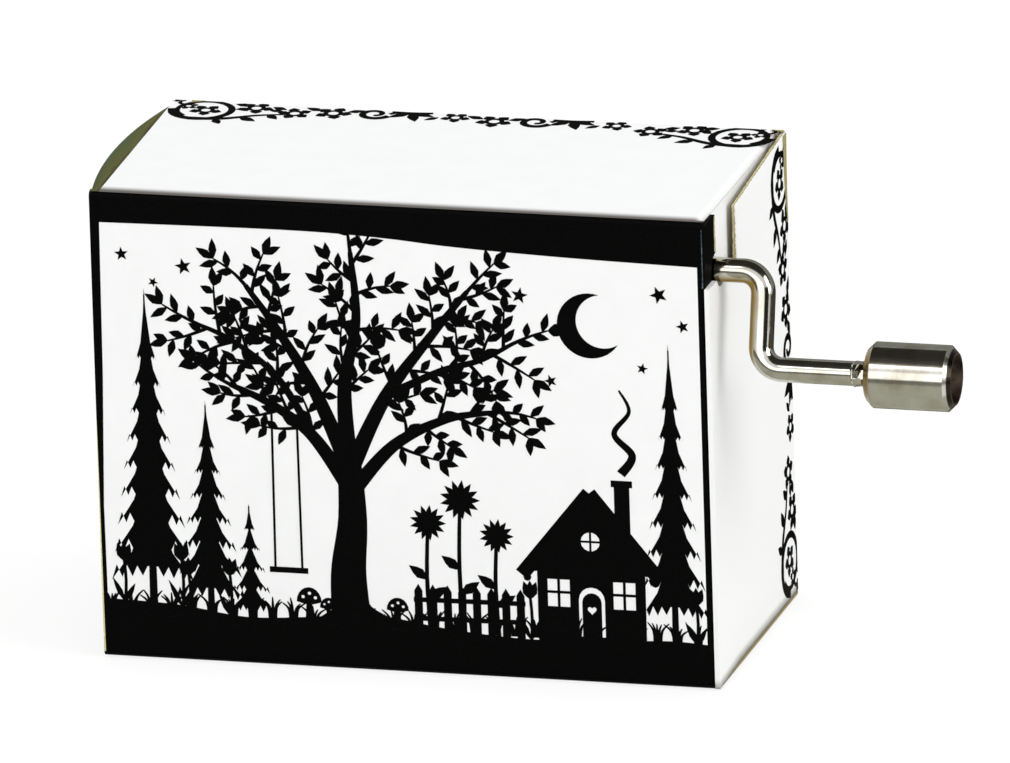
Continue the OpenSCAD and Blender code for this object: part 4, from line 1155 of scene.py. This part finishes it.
# %% [markdown]
# ## Floor and world
# The object stands on a plain pale floor. Soft lamps and an even world light it at a level at
# which white board stays just under white. For rays that reach the camera, directly or by a mirror,
# the floor adds a steady glow, so that the ground fades to white and keeps a soft shadow.

# %% Floor
def seen_directly(tree):
    """One where a ray comes from the camera, a mirror or glass."""
    path = add(tree, "ShaderNodeLightPath")
    first = add(tree, "ShaderNodeMath", {0: path.outputs["Is Camera Ray"], 1: path.outputs["Is Glossy Ray"]},
                operation="MAXIMUM")
    return add(tree, "ShaderNodeMath", {0: first, 1: path.outputs["Is Transmission Ray"]},
               operation="MAXIMUM")


def unlit_material(name):
    """A new material without its shader."""
    material = bpy.data.materials.new(name)
    material.use_nodes = True
    material.node_tree.nodes.remove(material.node_tree.nodes["Principled BSDF"])
    return material, material.node_tree


floor_finish, tree = unlit_material("pale_floor")
plain = add(tree, "ShaderNodeBsdfDiffuse", Color=linear("#F2F2F0"))
faint = add(tree, "ShaderNodeBsdfDiffuse", Color=linear("#8A8A89"))
glow = add(tree, "ShaderNodeEmission", Color=linear("#FFFFFF"), Strength=0.78)
both = add(tree, "ShaderNodeAddShader", {0: faint, 1: glow})
mixed = add(tree, "ShaderNodeMixShader", {0: seen_directly(tree), 1: plain, 2: both})
plug(tree, mixed, tree.nodes["Material Output"].inputs["Surface"])

FLOOR_HALF, FLOOR_DROP = 4.0, 0.0001  # metres
bm = bmesh.new()
bmesh.ops.create_grid(bm, x_segments=1, y_segments=1, size=FLOOR_HALF)
bmesh.ops.translate(bm, verts=bm.verts[:], vec=(0, 0, -FLOOR_DROP))
floor = finished(bm, "floor", floor_finish)
print("floor in m:", 2 * FLOOR_HALF)

# %% World
world = bpy.data.worlds.new("studio")
bpy.context.scene.world = world
world.use_nodes = True
tree = world.node_tree
sky = tree.nodes["Background"]
sky.inputs["Color"].default_value = linear("#FFFFFF")
even = add(tree, "ShaderNodeBackground", Color=linear("#F4F6F8"), Strength=0.5)
mixed = add(tree, "ShaderNodeMixShader", {0: seen_directly(tree), 1: even, 2: sky})
plug(tree, mixed, tree.nodes["World Output"].inputs["Surface"])
print("world ready:", world.name)

# %% [markdown]
# ## Lamps
# Printed board and bright metal are photographed under large soft lamps, because small ones would
# leave hard spots. Area lamps stand in for the softboxes: one from the left, one above, one from the
# right, one in front and a weak one behind. The metal doesn't mirror the upper and the rear one.

# %% Five soft lamps
AIM = Vector((0.01, 0, 0.025))
LAMPS = (  # name, place and sides in m, power in W, and whether metal mirrors it
    ("key_softbox", (-0.55, -0.75, 1.0), (0.7, 0.7), 4.4, True),
    ("top_softbox", (0.1, 0.15, 1.3), (1.0, 1.0), 4.7, False),
    ("right_softbox", (1.1, -0.25, 0.55), (0.6, 0.8), 6.45, True),
    ("front_softbox", (-0.05, -1.3, 0.42), (1.3, 0.6), 2.5, True),
    ("back_softbox", (-0.5, 1.3, 0.3), (1.0, 0.5), 1.6, False),
)
for name, place, sides, power, mirrored in LAMPS:
    light = bpy.data.lights.new(name, "AREA")
    light.shape = "RECTANGLE"
    light.size, light.size_y = sides
    light.energy = power
    lamp = bpy.data.objects.new(name, light)
    lamp.location = place
    lamp.rotation_euler = (AIM - Vector(place)).to_track_quat("-Z", "Y").to_euler()
    lamp.visible_camera = False
    lamp.visible_glossy = mirrored
    bpy.context.scene.collection.objects.link(lamp)
print("lamps:", len(LAMPS))

# %% [markdown]
# ## Cards for bright metal
# Metal shows what stands round it, and in an all-white room it looks like white plastic. A studio
# hangs grey and dark cards round it. These cards glow at a set level and only mirrors see them, so
# they give the nickel its dark, bright and grey bands and leave the light on the carton alone.

# %% Cards that only mirrors see
CARDS = (  # name, place and sides in m, colour, and degrees about X and then Z
    ("dark_ceiling_card", (0, 0.13, 1.0), (6.0, 1.38), "#35342D", 0, 0),
    ("dusky_ceiling_card", (0, -0.61, 1.0), (6.0, 0.1), "#6A6A60", 0, 0),
    ("grey_ceiling_card", (0, -0.71, 1.0), (6.0, 0.1), "#A6A69C", 0, 0),
    ("grey_back_card", (0, 0.86, 0.5), (6.0, 1.0), "#8E8E88", 90, 0),
    ("dark_horizon_card", (0, -1.9, 0.08), (6.0, 0.16), "#453F37", 90, 0),
    ("white_table_card", (0.17, -0.02, 0.0008), (0.14, 0.13), "#FFFFFF", 0, 0),
    ("pale_table_card", (0.05, -0.08, 0.0006), (0.4, 0.2), "#BDBDAF", 0, 0),
    ("grey_table_card", (0, -1.5, 0.0004), (6.0, 3.0), "#85857A", 0, 0),
    ("back_table_card", (0, 1.5, 0.0004), (6.0, 3.0), "#4A4A41", 0, 0),
    ("dark_right_card", (0.78, -0.68, 0.22), (0.7, 0.44), "#26261F", 90, 48),
)
for name, place, sides, colour, tilt, turn in CARDS:
    bm = bmesh.new()
    bmesh.ops.create_grid(bm, x_segments=1, y_segments=1, size=0.5)
    bm.transform(Matrix.Translation(place) @ Matrix.Rotation(math.radians(turn), 4, "Z")
                 @ Matrix.Rotation(math.radians(tilt), 4, "X") @ Matrix.Diagonal((*sides, 1, 1)))
    material, tree = unlit_material(name)
    glow = add(tree, "ShaderNodeEmission", Color=linear(colour), Strength=1.0)
    plug(tree, glow, tree.nodes["Material Output"].inputs["Surface"])
    card = finished(bm, name, material)
    card.visible_camera = card.visible_diffuse = card.visible_shadow = card.visible_transmission = False
print("cards:", len(CARDS))

# %% [markdown]
# ## Camera
# A product shot is taken from far away with a long lens, so that edges stay nearly parallel. The
# angles, the aim and the lens were fitted to the carton's corners. The camera's axes are built from
# the angles and put into one matrix.

# %% Camera at the photograph's angle
AZIMUTH, ELEVATION, ROLL = 15.473, 17.605, -1.736
DISTANCE, TARGET = 3.0, Vector((6.234, 0.0, 26.032)) * MM
FOCAL_PX, IMAGE_W = 29845.4, 1010
a, e, r = (math.radians(angle) for angle in (AZIMUTH, ELEVATION, ROLL))
back = Vector((math.sin(a) * math.cos(e), -math.cos(a) * math.cos(e), math.sin(e)))
right = (-back).cross(Vector((0, 0, 1))).normalized()
up = right.cross(-back)
camera_x = math.cos(r) * right + math.sin(r) * up
camera_y = -math.sin(r) * right + math.cos(r) * up
camera_data = bpy.data.cameras.new("camera")
camera_data.sensor_fit = "HORIZONTAL"
camera_data.sensor_width = 36.0
camera_data.lens = FOCAL_PX / IMAGE_W * camera_data.sensor_width
camera = bpy.data.objects.new("camera", camera_data)
bpy.context.scene.collection.objects.link(camera)
turn = Matrix((camera_x, camera_y, back)).transposed().to_4x4()
camera.matrix_world = Matrix.Translation(TARGET + back * DISTANCE) @ turn
bpy.context.scene.camera = camera
bpy.context.scene.view_settings.view_transform = "Standard"
print("lens in mm:", round(camera_data.lens, 1))
